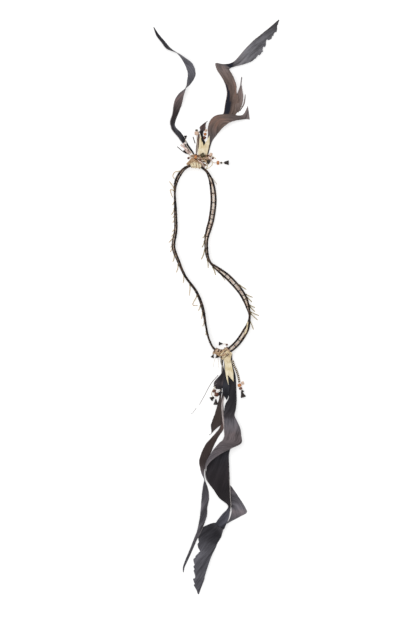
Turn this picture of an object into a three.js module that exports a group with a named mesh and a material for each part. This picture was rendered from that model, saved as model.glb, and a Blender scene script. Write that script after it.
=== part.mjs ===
import * as THREE from 'three';

// A feathered headdress, laid flat on a table with its front towards +Y.
// All sizes are in millimetres, +Z is up and the table is Z = 0.

// The head loop: two wound rims with a pale strip between them
const loopLength = 242;
const loopWidth = 98.8;
const rimThick = 2.6;
const rimSpacing = 5.6;
const stripThick = 1.4;
const pieceGap = 0.3;
const joinGap = 0.6;
const raiseRun = 60;

// The lashings round the loop, and the binding round the roots in front
const lashingWall = 1.3;
const lashingPlay = 0.7;
const frontLashingLength = 14;
const rearLashingLength = 21;
const bindingWidth = 26;
const bindingLength = 9.6;
const bindingWall = 1.3;
const bindingCentre = 7.2;

// The forked tabs
const tabThick = 1.5;
const frontTabLength = 26;
const frontTabWidth = 13.6;
const rearTabLength = 37.7;
const rearTabWidth = 10.4;
const rearTabRise = 2.6;

// The feathers
const vaneThick = 1.1;
const vaneEdge = 0.7;
const quillFloor = 2;
const quillPitch = 2.34;

// Threads, beads and seeds
const threadThick = 0.8;
const threadPlay = 0.5;
const cordThick = 3.2;

// Tables have named columns, and their lengths are shares of the sizes above
// or of the size of the piece that they shape.
const table = (columns, lines) => {
  const names = columns.split(' ');
  return lines.map((line) => Object.fromEntries(names.map((name, i) => [name, line[i]])));
};
const up = new THREE.Vector3(0, 0, 1);
const radians = THREE.MathUtils.degToRad;
const point = (x, y, z) => new THREE.Vector3(x, y, z);
const look = (color, roughness) => new THREE.MeshStandardMaterial({ color, roughness, metalness: 0 });

const headdress = new THREE.Group();

function add(name, geometry, material) {
  const mesh = new THREE.Mesh(geometry, material);
  mesh.name = name;
  headdress.add(mesh);
  return mesh;
}

// A geometry from points and triangles, turned so that its faces point out.
function closedBody(points, index) {
  let volume = 0;
  const edge = point();
  for (let i = 0; i < index.length; i += 3) {
    const [a, b, c] = [points[index[i]], points[index[i + 1]], points[index[i + 2]]];
    volume += a.dot(edge.crossVectors(b, c));
  }
  if (volume < 0) {
    index.reverse();
  }
  const geometry = new THREE.BufferGeometry().setFromPoints(points);
  geometry.setIndex(index);
  geometry.computeVertexNormals();
  return geometry;
}

// The side faces between two rings of points that start at two places in a list.
function skin(index, from, to, size) {
  for (let side = 0; side < size; side += 1) {
    const next = (side + 1) % size;
    index.push(from + side, from + next, to + next, from + side, to + next, to + side);
  }
}

// A body through rings of points. The second half of each ring faces its first half.
function loft(rings) {
  const size = rings[0].length;
  const index = [];
  for (let ring = 1; ring < rings.length; ring += 1) {
    skin(index, (ring - 1) * size, ring * size, size);
  }
  const last = (rings.length - 1) * size;
  for (let side = 0; side + 1 < size / 2; side += 1) {
    const [a, b, c, d] = [side, side + 1, size - 2 - side, size - 1 - side];
    index.push(a, c, b, a, d, c);
    index.push(last + a, last + b, last + c, last + a, last + c, last + d);
  }
  return closedBody(rings.flat(), index);
}

// A sleeve, open at both ends, between outer and inner rings.
function sleeve(outer, inner) {
  const size = outer[0].length;
  const rings = [...outer, ...inner.toReversed()];
  const index = [];
  for (let ring = 0; ring < rings.length; ring += 1) {
    skin(index, ring * size, ((ring + 1) % rings.length) * size, size);
  }
  return closedBody(rings.flat(), index);
}

// The head loop

// The loop's run from the join at the back, up the left arm, over the front and
// down the right arm. Across and down are shares of its width and its length from
// the front. Lean is how the band stands: 90 is on edge with its upper rim on top,
// and 0 is flat with its upper rim outward.
const loopRun = table('across down lean', [
  [0.351, 1.004, 55],
  [0.243, 0.980, 88],
  [0.178, 0.930, 90],
  [0.138, 0.860, 92],
  [0.095, 0.763, 105],
  [0.017, 0.679, 100],
  [-0.136, 0.591, 96],
  [-0.224, 0.511, 108],
  [-0.288, 0.435, 115],
  [-0.259, 0.344, 112],
  [-0.263, 0.237, 105],
  [-0.270, 0.129, 85],
  [-0.250, 0.081, 66],
  [-0.197, 0.040, 66],
  [-0.125, 0.010, 80],
  [0.007, -0.003, 92],
  [0.138, 0.027, 85],
  [0.182, 0.056, 70],
  [0.212, 0.091, 45],
  [0.238, 0.183, 8],
  [0.208, 0.290, 20],
  [0.175, 0.339, 30],
  [0.143, 0.398, 60],
  [0.159, 0.487, 72],
  [0.204, 0.523, 85],
  [0.276, 0.548, 60],
  [0.441, 0.603, 15],
  [0.599, 0.677, 20],
  [0.654, 0.718, 35],
  [0.691, 0.761, 62],
  [0.712, 0.804, 88],
  [0.696, 0.847, 70],
  [0.662, 0.882, 25],
  [0.553, 0.949, 5],
  [0.434, 0.991, 30],
]);
const frontRow = 15;
const loopCurve = new THREE.CatmullRomCurve3(
  loopRun.map((row) => point(row.across * loopWidth, -row.down * loopLength, 0)),
  true,
);
loopCurve.arcLengthDivisions = loopRun.length * 40;
const leanCurve = new THREE.CatmullRomCurve3(
  loopRun.map((row) => point(row.lean, 0, 0)),
  true,
  'catmullrom',
);
const girth = loopCurve.getLength();
const frontShare = loopCurve.getLengths()[frontRow * 40] / girth;

// The band at a share of its run: its centre, the way from its lower to its upper
// rim, and the way that its face looks.
function bandAt(place) {
  const share = (place + 1) % 1;
  const run = loopCurve.getUtoTmapping(share);
  const centre = loopCurve.getPoint(run);
  const ahead = loopCurve.getTangent(run);
  const lean = radians(leanCurve.getPoint(run).x);
  const rims = point(-ahead.y, ahead.x, 0).normalize().multiplyScalar(Math.cos(lean));
  rims.addScaledVector(up, Math.sin(lean));
  const face = point().crossVectors(rims, ahead).normalize();
  const nearest = Math.min(Math.abs(share - frontShare), share, 1 - share) * girth;
  const raised = 1 - THREE.MathUtils.smoothstep(nearest, rearLashingLength / 2, raiseRun);
  centre.z = (Math.abs(rims.z) * rimSpacing + rimThick) / 2;
  centre.z += raised * (lashingPlay + lashingWall);
  return { centre, rims, face };
}

// A ring of points round the band, as wide and thick as asked, with rounded ends.
function bandRing({ centre, rims, face }, wide, thick, corners, offset = 0) {
  return Array.from({ length: corners }, (_, i) => {
    const angle = (2 * Math.PI * (i + 0.5)) / corners;
    const side = Math.cos(angle);
    const along = offset + (Math.sign(side) * (wide - thick) + side * thick) / 2;
    return centre.clone()
      .addScaledVector(rims, along)
      .addScaledVector(face, (Math.sin(angle) * thick) / 2);
  });
}

const stations = (from, to, steps) => (
  Array.from({ length: steps + 1 }, (_, i) => from + ((to - from) * i) / steps)
);

{
  const looks = {
    strip: look('#e6d3bd', 0.9),
    rim: look('#2f2623', 0.85),
  };
  const open = joinGap / 2 / girth;
  const shares = stations(open, 1 - open, 112);
  const stripWide = rimSpacing - rimThick - 2 * pieceGap;
  const strip = shares.map((share) => bandRing(bandAt(share), stripWide, stripThick, 4));
  add('band_strip', loft(strip), looks.strip);
  for (const [name, side] of [['band_rim_upper', 1], ['band_rim_lower', -1]]) {
    const rim = shares.map((share) => (
      bandRing(bandAt(share), rimThick, rimThick, 6, (side * rimSpacing) / 2)
    ));
    add(name, loft(rim), looks.rim);
  }
}

// The lashings, wound over the band
function lashing(name, middle, length, material) {
  const half = length / 2 / girth;
  const room = rimThick + 2 * lashingPlay;
  const hold = rimSpacing + room;
  const thick = 2 * lashingWall;
  const spots = stations(middle - half, middle + half, 10).map(bandAt);
  const outer = spots.map((spot) => bandRing(spot, hold + thick, room + thick, 10));
  const inner = spots.map((spot) => bandRing(spot, hold, room, 10));
  add(name, sleeve(outer, inner), material);
}
lashing('front_lashing', frontShare, frontLashingLength, look('#c9a878', 0.8));
lashing('rear_lashing', 0, rearLashingLength, look('#a9794e', 0.8));

// The binding round the roots of the front feathers: a flat sleeve along Y
const tabFloor = quillFloor + vaneThick + pieceGap;
const frontKnot = loopCurve.getPoint(frontRow / loopRun.length);
const bindingFloor = frontKnot.y + rimThick / 2 + lashingPlay + lashingWall + 2 * pieceGap;
const bindingHeight = tabFloor + tabThick + pieceGap + bindingWall;
{
  const slot = (wide, high, from) => {
    const round = high / 2;
    const straight = wide / 2 - round;
    const path = new THREE.Path();
    path.absarc(bindingCentre + straight, from + round, round, -Math.PI / 2, Math.PI / 2);
    path.absarc(bindingCentre - straight, from + round, round, Math.PI / 2, -Math.PI / 2);
    return path;
  };
  const outline = new THREE.Shape(slot(bindingWidth, bindingHeight, 0).getPoints(5));
  const room = bindingWidth - 2 * bindingWall;
  outline.holes.push(slot(room, bindingHeight - 2 * bindingWall, bindingWall));
  const wound = { depth: bindingLength, bevelEnabled: false, curveSegments: 5 };
  const geometry = new THREE.ExtrudeGeometry(outline, wound);
  const binding = add('front_binding', geometry, look('#a9794e', 0.8));
  binding.rotation.x = Math.PI / 2;
  binding.position.y = bindingFloor + bindingLength;
}

// The forked tabs, flat plates split into two points. Across is a share of the
// tab's width and along of its length from the root.
function forkedTab(name, { at, length, width, rise, turn }, outline) {
  const corners = outline.map((row) => new THREE.Vector2(row.across * width, row.along * length));
  const plate = { depth: tabThick, bevelEnabled: false };
  const geometry = new THREE.ExtrudeGeometry(new THREE.Shape(corners), plate);
  geometry.rotateX(Math.asin(rise / length));
  const tab = add(name, geometry, look('#ead9ae', 0.75));
  tab.position.copy(at);
  tab.rotation.z = turn;
}

const frontTabRoot = bindingFloor + pieceGap;
forkedTab('front_tab', {
  at: point(bindingCentre + 1.9, frontTabRoot, tabFloor),
  length: frontTabLength + bindingLength,
  width: frontTabWidth,
  rise: 0,
  turn: 0,
}, table('across along', [
  [-0.40, 0],
  [-0.43, 0.23],
  [-0.42, 0.43],
  [-0.34, 0.61],
  [-0.30, 0.81],
  [-0.20, 1],
  [0.12, 0.58],
  [0.68, 0.97],
  [0.68, 0.71],
  [0.57, 0.47],
  [0.40, 0.23],
  [0.36, 0],
]));

const rearKnot = loopCurve.getPoint(0);
const rearRoots = rearKnot.y - 5.6;
forkedTab('rear_tab', {
  at: point(rearKnot.x + 6, rearRoots + 1.6, tabFloor + 0.4),
  length: rearTabLength,
  width: rearTabWidth,
  rise: rearTabRise,
  turn: Math.PI,
}, table('across along', [
  [0.40, 0.02],
  [0.28, 0.24],
  [0.20, 0.50],
  [0.06, 0.76],
  [-0.22, 1],
  [-0.10, 0.64],
  [-0.85, 0.88],
  [-0.79, 0.53],
  [-0.60, 0.26],
  [-0.42, 0.02],
]));

// The feathers are stripped vanes that curl. Each row is a bar across the vane:
// its middle, across from the root and along away from it, as shares of the
// feather's reach, its width as a share of the feather's, the way that it points
// on the table and its tilt out of it in degrees, and the height of its lower edge
// as a share of the feather's rise.
const vaneColumns = 'across along wide turn tilt lift';

function feather(name, { root, heading, tuck, reach, width, rise, material }, lines) {
  const bars = lines.map(({ wide, turn, tilt }) => {
    const [way, slope] = [radians(turn), radians(tilt)];
    return point(Math.cos(slope) * Math.cos(way), Math.cos(slope) * Math.sin(way), Math.sin(slope))
      .multiplyScalar((wide * width) / 2);
  });
  const middles = lines.map(({ across, along, lift }, i) => point(
    root.x + across * reach,
    root.y + heading * along * reach,
    lift * rise + Math.abs(bars[i].z) + vaneThick / 2,
  ));
  const tucked = middles[0].clone();
  tucked.y -= heading * tuck;
  const spine = new THREE.CatmullRomCurve3([tucked, ...middles]);
  const spread = new THREE.CatmullRomCurve3([bars[0], ...bars], false, 'catmullrom');
  const rings = stations(0, 1, lines.length).map((share) => {
    const middle = spine.getPoint(share);
    const bar = spread.getPoint(share);
    const face = point().crossVectors(bar, spine.getTangent(share)).normalize();
    const spot = (across, height) => (
      middle.clone().addScaledVector(bar, across).addScaledVector(face, height / 2)
    );
    return [
      spot(-1, vaneEdge),
      spot(-0.45, vaneThick),
      spot(0.45, vaneThick),
      spot(1, vaneEdge),
      spot(1, -vaneEdge),
      spot(0.45, -vaneThick),
      spot(-0.45, -vaneThick),
      spot(-1, -vaneEdge),
    ];
  });
  add(name, loft(rings), material);
}

const charcoal = look('#35323a', 0.55);
const brownVane = look('#4a3d37', 0.6);
const navyVane = look('#25262f', 0.5);

// Front feathers, from left to right at their roots
const frontRoots = bindingFloor + bindingLength + pieceGap;
const front = (slot, size) => ({
  root: point(bindingCentre + slot * quillPitch, frontRoots, 0),
  heading: 1,
  tuck: bindingLength,
  ...size,
});

feather('front_feather_left', front(-3.9, {
  reach: 166, width: 10.4, rise: 10, material: charcoal,
}), table(vaneColumns, [
  [0, 0, 0.15, 0, 0, 0.2],
  [-0.061, 0.078, 0.55, 38, -25, 0.1],
  [-0.113, 0.156, 0.75, 38, -25, 0],
  [-0.160, 0.211, 0.80, 38, -42, 0],
  [-0.166, 0.258, 0.90, 10, -42, 0],
  [-0.148, 0.312, 0.95, -15, -45, 0.05],
  [-0.129, 0.391, 1, -18, 10, 0.15],
  [-0.114, 0.437, 1, -18, 25, 0.15],
  [-0.094, 0.477, 1, -30, 55, 0.1],
  [-0.066, 0.516, 0.95, -37, 85, 0],
  [-0.037, 0.570, 1, -22, 125, 0],
  [-0.018, 0.633, 1, 0, 165, 0.1],
  [-0.036, 0.695, 1, 28, 205, 0.15],
  [-0.076, 0.742, 0.90, 45, 242, 0.1],
  [-0.125, 0.789, 0.75, 60, 268, 0],
  [-0.203, 0.836, 0.62, 45, 300, 0],
  [-0.242, 0.883, 0.58, 45, 318, 0.05],
  [-0.285, 0.937, 0.45, 42, 325, 0.05],
  [-0.316, 1, 0.08, 20, 330, 0.05],
]));

feather('front_strip_brown', front(-2.5, {
  reach: 27, width: 3.4, rise: 10, material: brownVane,
}), table(vaneColumns, [
  [0, 0, 0.45, 0, 0, 0.2],
  [0.04, 0.35, 0.9, -10, 0, 0.2],
  [0.09, 0.72, 1, -8, 0, 0.2],
  [0.11, 1, 0.6, 0, 0, 0.2],
]));

feather('front_feather_small', front(1.37, {
  reach: 43, width: 7.3, rise: 10, material: navyVane,
}), table(vaneColumns, [
  [0, 0, 0.20, 0, 0, 0.2],
  [0.010, 0.330, 0.62, 0, 0, 0.15],
  [-0.045, 0.515, 0.50, 0, 0, 0.15],
  [-0.055, 0.680, 0.60, 0, 0, 0.2],
  [-0.021, 0.779, 0.98, 5, 0, 0.25],
  [-0.009, 0.860, 0.85, 20, 15, 0.3],
  [0.045, 0.927, 0.50, 40, 20, 0.35],
  [0.124, 1, 0.12, 50, 20, 0.4],
]));

const tall = front(2.45, { reach: 175.5, width: 19.5, rise: 10, material: brownVane });
feather('front_feather_tall', tall, table(vaneColumns, [
  [0, 0, 0.08, 0, 0, 0.2],
  [0.022, 0.070, 0.12, 0, 0, 0.03],
  [0.078, 0.185, 0.30, -40, 0, 0],
  [0.137, 0.252, 0.60, -35, 0, 0],
  [0.184, 0.311, 0.88, 0, 0, 0.02],
  [0.196, 0.370, 0.93, 0, 0, 0.1],
  [0.200, 0.419, 0.84, 0, 10, 0.2],
  [0.195, 0.459, 0.66, 0, 12, 0.3],
  [0.190, 0.507, 0.74, 0, 15, 0.4],
  [0.174, 0.552, 0.78, 0, 15, 0.4],
  [0.152, 0.593, 0.83, 0, 12, 0.3],
  [0.130, 0.630, 0.88, -5, 10, 0.2],
  [0.126, 0.656, 1, -24, 5, 0.1],
  [0.152, 0.653, 0.64, -35, 20, 0],
  [0.183, 0.659, 0.38, -68, 35, 0],
  [0.226, 0.676, 0.42, -70, 20, 0.1],
  [0.274, 0.704, 0.69, -61, 5, 0.25],
  [0.319, 0.737, 0.93, -60, 0, 0.35],
  [0.359, 0.774, 0.96, -56, -5, 0.35],
  [0.390, 0.802, 1, -56, -5, 0.3],
  [0.402, 0.825, 0.81, -58, -5, 0.3],
  [0.419, 0.841, 0.76, -52, -5, 0.25],
  [0.437, 0.871, 0.56, -54, -5, 0.2],
  [0.461, 0.884, 0.67, -42, -5, 0.2],
  [0.484, 0.911, 0.54, -47, 0, 0.15],
  [0.506, 0.935, 0.47, -39, 0, 0.1],
  [0.524, 0.968, 0.24, -35, 0, 0.05],
  [0.545, 1, 0.05, -35, 0, 0],
]));

feather('front_feather_curl', front(3.75, {
  reach: 55, width: 18.2, rise: 10, material: brownVane,
}), table(vaneColumns, [
  [0, 0, 0.09, 0, 0, 0.2],
  [0.035, 0.188, 0.16, -5, 0, 0.2],
  [0.052, 0.329, 0.33, -10, 0, 0.18],
  [0.094, 0.459, 0.57, -15, 0, 0.17],
  [0.146, 0.600, 0.90, -15, 3, 0.28],
  [0.224, 0.736, 1.10, -24, 8, 0.5],
  [0.306, 0.807, 1.05, -40, 8, 0.5],
  [0.430, 0.852, 0.80, -52, 12, 0.4],
  [0.600, 0.875, 0.58, -60, 22, 0.2],
  [0.765, 0.875, 0.42, -78, 40, 0],
  [0.875, 0.906, 0.45, -72, 20, 0],
  [0.969, 0.995, 1, -82, 5, 0],
]));

// Rear feathers, from left to right at their roots
const rear = (slot, size) => ({
  root: point(rearKnot.x + slot * quillPitch, rearRoots, 0),
  heading: -1,
  tuck: 2.6,
  ...size,
});

feather('rear_feather_fold', rear(-0.5, {
  reach: 40.3, width: 14.3, rise: 10, material: navyVane,
}), table(vaneColumns, [
  [0, 0, 0.12, 0, 0, 0.2],
  [0, 0.160, 0.12, 0, 0, 0.2],
  [0.070, 0.380, 0.15, 0, 0, 0.2],
  [0.055, 0.548, 0.36, -10, 0, 0.2],
  [0, 0.710, 0.76, -8, 0, 0.2],
  [-0.065, 0.839, 0.88, 0, 0, 0.2],
  [-0.090, 0.952, 0.60, 10, 0, 0.2],
  [-0.110, 1.030, 0.15, 15, 0, 0.2],
]));

feather('rear_feather_brown', rear(0.6, {
  reach: 100.8, width: 14.3, rise: 10, material: brownVane,
}), table(vaneColumns, [
  [0, 0, 0.12, 0, 0, 0.2],
  [-0.010, 0.060, 0.12, 0, 0, 0.02],
  [-0.018, 0.297, 0.15, 0, 0, 0.02],
  [-0.040, 0.529, 0.20, 0, 0, 0.05],
  [-0.050, 0.632, 0.42, 0, 0, 0.17],
  [-0.063, 0.723, 0.62, 0, 0, 0.2],
  [-0.082, 0.813, 0.82, 0, 5, 0.2],
  [-0.094, 0.877, 0.95, 10, 8, 0.15],
  [-0.121, 0.942, 0.55, 35, 15, 0.1],
  [-0.153, 0.981, 0.30, 45, 10, 0.06],
  [-0.178, 1, 0.08, 45, 0, 0.04],
]));

feather('rear_feather_left', rear(2.3, {
  reach: 279.5, width: 11.7, rise: 10, material: charcoal,
}), table(vaneColumns, [
  [0, 0, 0.13, 0, 0, 0.2],
  [-0.004, 0.040, 0.13, 0, 0, 0.02],
  [-0.005, 0.107, 0.16, 0, 0, 0],
  [-0.018, 0.200, 0.22, 0, 0, 0],
  [-0.017, 0.260, 0.30, 0, 0, 0],
  [-0.016, 0.298, 0.38, 0, 0, 0],
  [-0.024, 0.335, 0.45, -25, 0, 0],
  [-0.041, 0.358, 0.50, -35, 0, 0],
  [-0.061, 0.386, 0.68, -30, 0, 0],
  [-0.077, 0.409, 0.90, -25, 5, 0],
  [-0.096, 0.451, 1, -15, 8, 0],
  [-0.1085, 0.484, 0.85, 0, 5, 0],
  [-0.110, 0.512, 0.58, 10, 10, 0],
  [-0.109, 0.540, 0.42, 10, 48, 0],
  [-0.102, 0.567, 0.50, 5, 88, 0],
  [-0.099, 0.595, 0.70, 0, 125, 0],
  [-0.097, 0.628, 0.85, 0, 150, 0.05],
  [-0.098, 0.660, 0.90, 0, 160, 0.1],
  [-0.103, 0.698, 0.80, 0, 155, 0.2],
  [-0.106, 0.735, 0.85, 0, 155, 0.3],
  [-0.114, 0.767, 0.75, -10, 148, 0.35],
  [-0.126, 0.805, 0.60, -20, 140, 0.35],
  [-0.142, 0.842, 0.45, -22, 140, 0.25],
  [-0.165, 0.898, 0.38, -22, 140, 0.1],
  [-0.185, 0.944, 0.30, -22, 150, 0],
  [-0.198, 0.977, 0.20, -12, 150, 0],
  [-0.200, 1, 0.08, 0, 150, 0],
]));

feather('rear_shaft_pale', rear(1.36, {
  reach: 103, width: 2.6, rise: 10, material: look('#a79c98', 0.5),
}), table(vaneColumns, [
  [0, 0, 0.55, 0, 0, 0.2],
  [0, 0.100, 0.55, 0, 0, 0.2],
  [0.014, 0.220, 0.55, 0, 0, 0.2],
  [0.022, 0.350, 0.55, 0, 0, 0.2],
  [0.008, 0.440, 0.55, 0, 0, 0.2],
  [-0.016, 0.520, 0.70, 0, 0, 0.23],
  [-0.031, 0.595, 0.90, 0, 0, 0.34],
  [-0.027, 0.680, 1, 0, 0, 0.38],
  [-0.017, 0.785, 0.90, 0, 0, 0.38],
  [-0.005, 0.890, 0.70, 0, 0, 0.38],
  [0.003, 1, 0.40, 0, 0, 0.38],
]));

feather('rear_feather_short', rear(3.3, {
  reach: 58.5, width: 9.1, rise: 10, material: navyVane,
}), table(vaneColumns, [
  [0, 0, 0.17, 0, 0, 0.2],
  [-0.010, 0.330, 0.22, 0, 0, 0.36],
  [-0.040, 0.580, 0.95, 0, 0, 0.36],
  [-0.051, 0.778, 0.93, 0, 0, 0.36],
  [-0.036, 0.910, 0.50, 0, 0, 0.36],
  [-0.030, 1, 0.08, 0, 0, 0.34],
]));

feather('rear_feather_blade', rear(4.2, {
  reach: 217, width: 28.6, rise: 10, tuck: 4.1, material: navyVane,
}), table(vaneColumns, [
  [0, 0, 0.06, 0, 0, 0.2],
  [0.003, 0.030, 0.06, 0, 0, 0.02],
  [0.010, 0.108, 0.07, 0, 0, 0],
  [0.020, 0.228, 0.10, 0, 0, 0],
  [0.013, 0.329, 0.18, 0, 0, 0.1],
  [0.003, 0.437, 0.32, 0, 0, 0.2],
  [-0.012, 0.515, 0.36, 0, 0, 0.25],
  [-0.046, 0.581, 0.62, 0, 0, 0.35],
  [-0.070, 0.653, 1.02, 0, 0, 0.46],
  [-0.066, 0.725, 1, 0, 0, 0.46],
  [-0.047, 0.790, 0.77, 0, 0, 0.4],
  [-0.028, 0.844, 0.50, 0, 0, 0.38],
  [-0.002, 0.886, 0.15, 0, 0, 0.4],
  [-0.004, 0.916, 0.16, -30, 0, 0.45],
  [-0.023, 0.958, 0.26, -35, 0, 0.54],
  [-0.037, 0.994, 0.20, -35, 0, 0.54],
]));

feather('rear_feather_main', rear(5.1, {
  reach: 308, width: 22, rise: 10, tuck: 4.9, material: charcoal,
}), table(vaneColumns, [
  [0, 0, 0.08, 0, 0, 0.2],
  [0.001, 0.038, 0.13, 0, 0, 0.2],
  [0.003, 0.072, 0.36, 0, 0, 0.18],
  [0.003, 0.105, 0.46, 0, 0, 0.2],
  [0.004, 0.150, 0.47, 0, 0, 0.2],
  [0.005, 0.172, 0.47, 0, 0, 0.26],
  [0.005, 0.196, 0.46, 0, 0, 0.44],
  [-0.005, 0.219, 0.64, 0, 0, 0.52],
  [-0.010, 0.245, 0.65, 0, 0, 0.55],
  [-0.003, 0.270, 0.77, 0, 0, 0.6],
  [0.004, 0.300, 0.94, 0, 0, 0.65],
  [0.006, 0.329, 1, 0, 0, 0.65],
  [-0.004, 0.354, 1, -8, 5, 0.65],
  [-0.025, 0.371, 0.80, -25, 15, 0.62],
  [-0.055, 0.392, 0.62, -32, 35, 0.6],
  [-0.080, 0.416, 0.52, -35, 55, 0.5],
  [-0.100, 0.441, 0.44, -40, 68, 0.5],
  [-0.110, 0.473, 0.30, -40, 86, 0.2],
  [-0.099, 0.502, 0.36, 51, 163, 0],
  [-0.067, 0.532, 0.66, 52, 174, 0],
  [-0.025, 0.565, 0.92, 58, 176, 0],
  [0.013, 0.608, 0.74, 50, 176, 0],
  [0.029, 0.635, 0.82, 4, 176, 0.05],
  [0.033, 0.652, 0.91, -5, 174, 0.1],
  [0.018, 0.667, 0.58, -15, 165, 0.05],
  [-0.003, 0.687, 0.34, -35, 125, 0],
  [-0.025, 0.704, 0.18, -40, 80, 0],
  [-0.048, 0.714, 0.60, -50, 15, 0],
  [-0.069, 0.731, 1.05, -45, 5, 0],
  [-0.097, 0.759, 1.25, -24, 0, 0],
  [-0.103, 0.800, 1.05, -5, 0, 0.05],
  [-0.106, 0.823, 0.83, 0, 5, 0.1],
  [-0.119, 0.840, 0.98, 0, 5, 0.15],
  [-0.129, 0.882, 0.84, 0, 5, 0.2],
  [-0.133, 0.922, 0.61, 0, 5, 0.15],
  [-0.137, 0.939, 0.63, 0, 5, 0.1],
  [-0.140, 0.970, 0.38, 0, 0, 0.05],
  [-0.139, 1, 0.05, 0, 0, 0],
]));

// Two barbs split from the tall feather, and a small leaf behind the short one
const besideTall = (across, along, size) => ({
  ...tall,
  root: point(tall.root.x + across * tall.reach, tall.root.y + along * tall.reach, 0),
  tuck: 0.5,
  ...size,
});
feather('front_barb_long', besideTall(0.247, 0.330, { reach: 43, width: 3.4 }), table(vaneColumns, [
  [0, 0, 0.50, 0, 0, 0.1],
  [0.066, 0.197, 1, 0, 0, 0.2],
  [0.094, 0.408, 0.95, 0, 0, 0.3],
  [0.079, 0.589, 0.70, 0, 0, 0.35],
  [0.060, 0.740, 0.45, 0, 0, 0.4],
  [0.085, 0.960, 0.40, 0, 0, 0.45],
  [0.090, 1, 0.25, 0, 0, 0.45],
]));
feather('front_barb_short', besideTall(0.256, 0.326, { reach: 21, width: 1.7 }), table(vaneColumns, [
  [0, 0, 0.6, -30, 0, 0],
  [0.217, 0.371, 1, -25, 0, 0],
  [0.297, 0.712, 0.8, -10, 0, 0.1],
  [0.322, 1, 0.5, 0, 0, 0.2],
]));
feather('rear_small_leaf', rear(0, {
  root: point(rearKnot.x - 0.4, rearKnot.y - 50.4, 0),
  reach: 8.6, width: 4.6, rise: 10, tuck: 0.1, material: navyVane,
}), table(vaneColumns, [
  [0, 0, 0.30, -53, 0, 0.34],
  [-0.30, 0.22, 0.95, -53, 0, 0.34],
  [-0.65, 0.46, 0.75, -53, 0, 0.34],
  [-0.95, 0.70, 0.20, -53, 0, 0.34],
]));

// Threads, and the beads and seeds on them. A string's points are chosen by hand,
// from the middle of the binding in front or from the join of the loop behind.
const paleThread = look('#d3c6b4', 0.9);
const fromBinding = point(bindingCentre, bindingFloor + bindingLength / 2, 0);
const fromJoin = point(rearKnot.x, rearKnot.y, 0);

// The strings' own points: across, along and up
const routes = {
  frontLeft: [
    [-10.4, 5.4, 5.4],
    [-15.5, 12, 6.2],
    [-20, 19.5, 6.4],
    [-20, 25, 6.2],
  ],
  frontSide: [
    [-13.7, 3.4, 4.6],
    [-16, 5.2, 4.4],
    [-17.4, 6.6, 4.3],
  ],
  frontDrop: [
    [13.5, -3.4, 3.2],
    [17, -5.2, 3],
    [22, -5.5, 3],
    [29.6, -5.4, 3.2],
  ],
  frontTop: [
    [-5.2, 5.4, 4.6],
    [-4.9, 15.3, 4.8],
    [-5.4, 25.7, 5.4],
    [-5.8, 38, 5.6],
  ],
  frontRight: [
    [8.6, 5.2, 7.7],
    [11.3, 5.6, 8.7],
    [13.9, 4.2, 8.5],
    [15.2, 0.4, 6.8],
    [15.5, -1.4, 5.8],
  ],
  frontCross: [
    [-18, 0.3, 2.4],
    [-14.6, 0.8, 5],
    [-11, 1.5, 7.8],
    [-5.9, 1.7, 8.8],
    [-2.8, -0.4, 8.6],
    [-0.7, -2.2, 8.6],
    [3, -3, 9],
    [5.4, -3.7, 9.6],
  ],
  rearInner: [
    [7.2, 9.8, 4],
    [4.6, 11.6, 3.4],
    [1, 11.8, 3.2],
  ],
  rearLeft: [
    [-2.4, -48.2, 5.4],
    [-5.8, -50.2, 7.6],
    [-7.4, -52.8, 7.8],
    [-8.2, -56, 7.8],
    [-8.2, -59.4, 7.6],
  ],
  rearCord: [
    [13.4, -9.4, 5.2],
    [15.2, -15.7, 4.4],
    [19.3, -24.8, 2.4],
    [21.9, -35.2, 2],
    [22.3, -38.6, 2],
  ],
  rearDrop: [
    [0, 0, 0.6],
    [0.1, -3.1, 1],
    [1.4, -6.5, 1],
    [2.6, -10.1, 1.2],
  ],
};

function string(name, anchor, thick, points, material = paleThread) {
  const line = new THREE.CatmullRomCurve3(points.map((spot) => point(...spot).add(anchor)));
  const steps = Math.max(5, Math.round(line.getLength() / 2));
  const rings = stations(0, 1, steps).map((share) => {
    const ahead = line.getTangentAt(share);
    const side = point().crossVectors(ahead, up).normalize();
    const over = point().crossVectors(side, ahead);
    return Array.from({ length: 6 }, (_, i) => {
      const angle = (Math.PI * (2 * i + 1)) / 6;
      return line.getPointAt(share)
        .addScaledVector(side, (Math.cos(angle) * thick) / 2)
        .addScaledVector(over, (Math.sin(angle) * thick) / 2);
    });
  });
  add(name, loft(rings), material);
  return line;
}

// A turned piece whose own axis, +Y, is laid along a direction.
function turned(name, profile, sides, at, direction, material) {
  const geometry = new THREE.LatheGeometry(profile.map(([r, y]) => new THREE.Vector2(r, y)), sides);
  const piece = add(name, geometry, material);
  piece.position.copy(at);
  piece.quaternion.setFromUnitVectors(point(0, 1, 0), direction.clone().normalize());
}

// A bead drilled for the thread, at a share of a string.
function bead(name, line, share, { long, wide, material }) {
  const hole = threadThick / 2 + threadPlay;
  const [half, round] = [long / 2, wide / 2];
  const profile = [
    [hole, -half],
    [round * 0.72, -half],
    [round, -half * 0.4],
    [round, half * 0.4],
    [round * 0.72, half],
    [hole, half],
    [hole, -half],
  ];
  const reach = half / line.getLength();
  const [enters, leaves] = [share - reach, share + reach].map((place) => line.getPointAt(place));
  const centre = line.getPointAt(share).lerp(point().addVectors(enters, leaves).divideScalar(2), 0.5);
  turned(name, profile, 10, centre, leaves.sub(enters), material);
}

// A seed shell, flared from its point to a dished rim, just past a string's end.
function seed(name, at, direction, { long, wide, material }) {
  const round = wide / 2;
  const profile = [
    [0, 0],
    [round * 0.3, long * 0.04],
    [round * 0.5, long * 0.45],
    [round, long * 0.9],
    [round * 0.9, long],
    [0, long * 0.82],
  ];
  turned(name, profile, 10, at, direction, material);
}
function seedAtEnd(name, line, size) {
  const ahead = line.getTangentAt(1);
  seed(name, line.getPointAt(1).addScaledVector(ahead, pieceGap), ahead, size);
}

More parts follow.
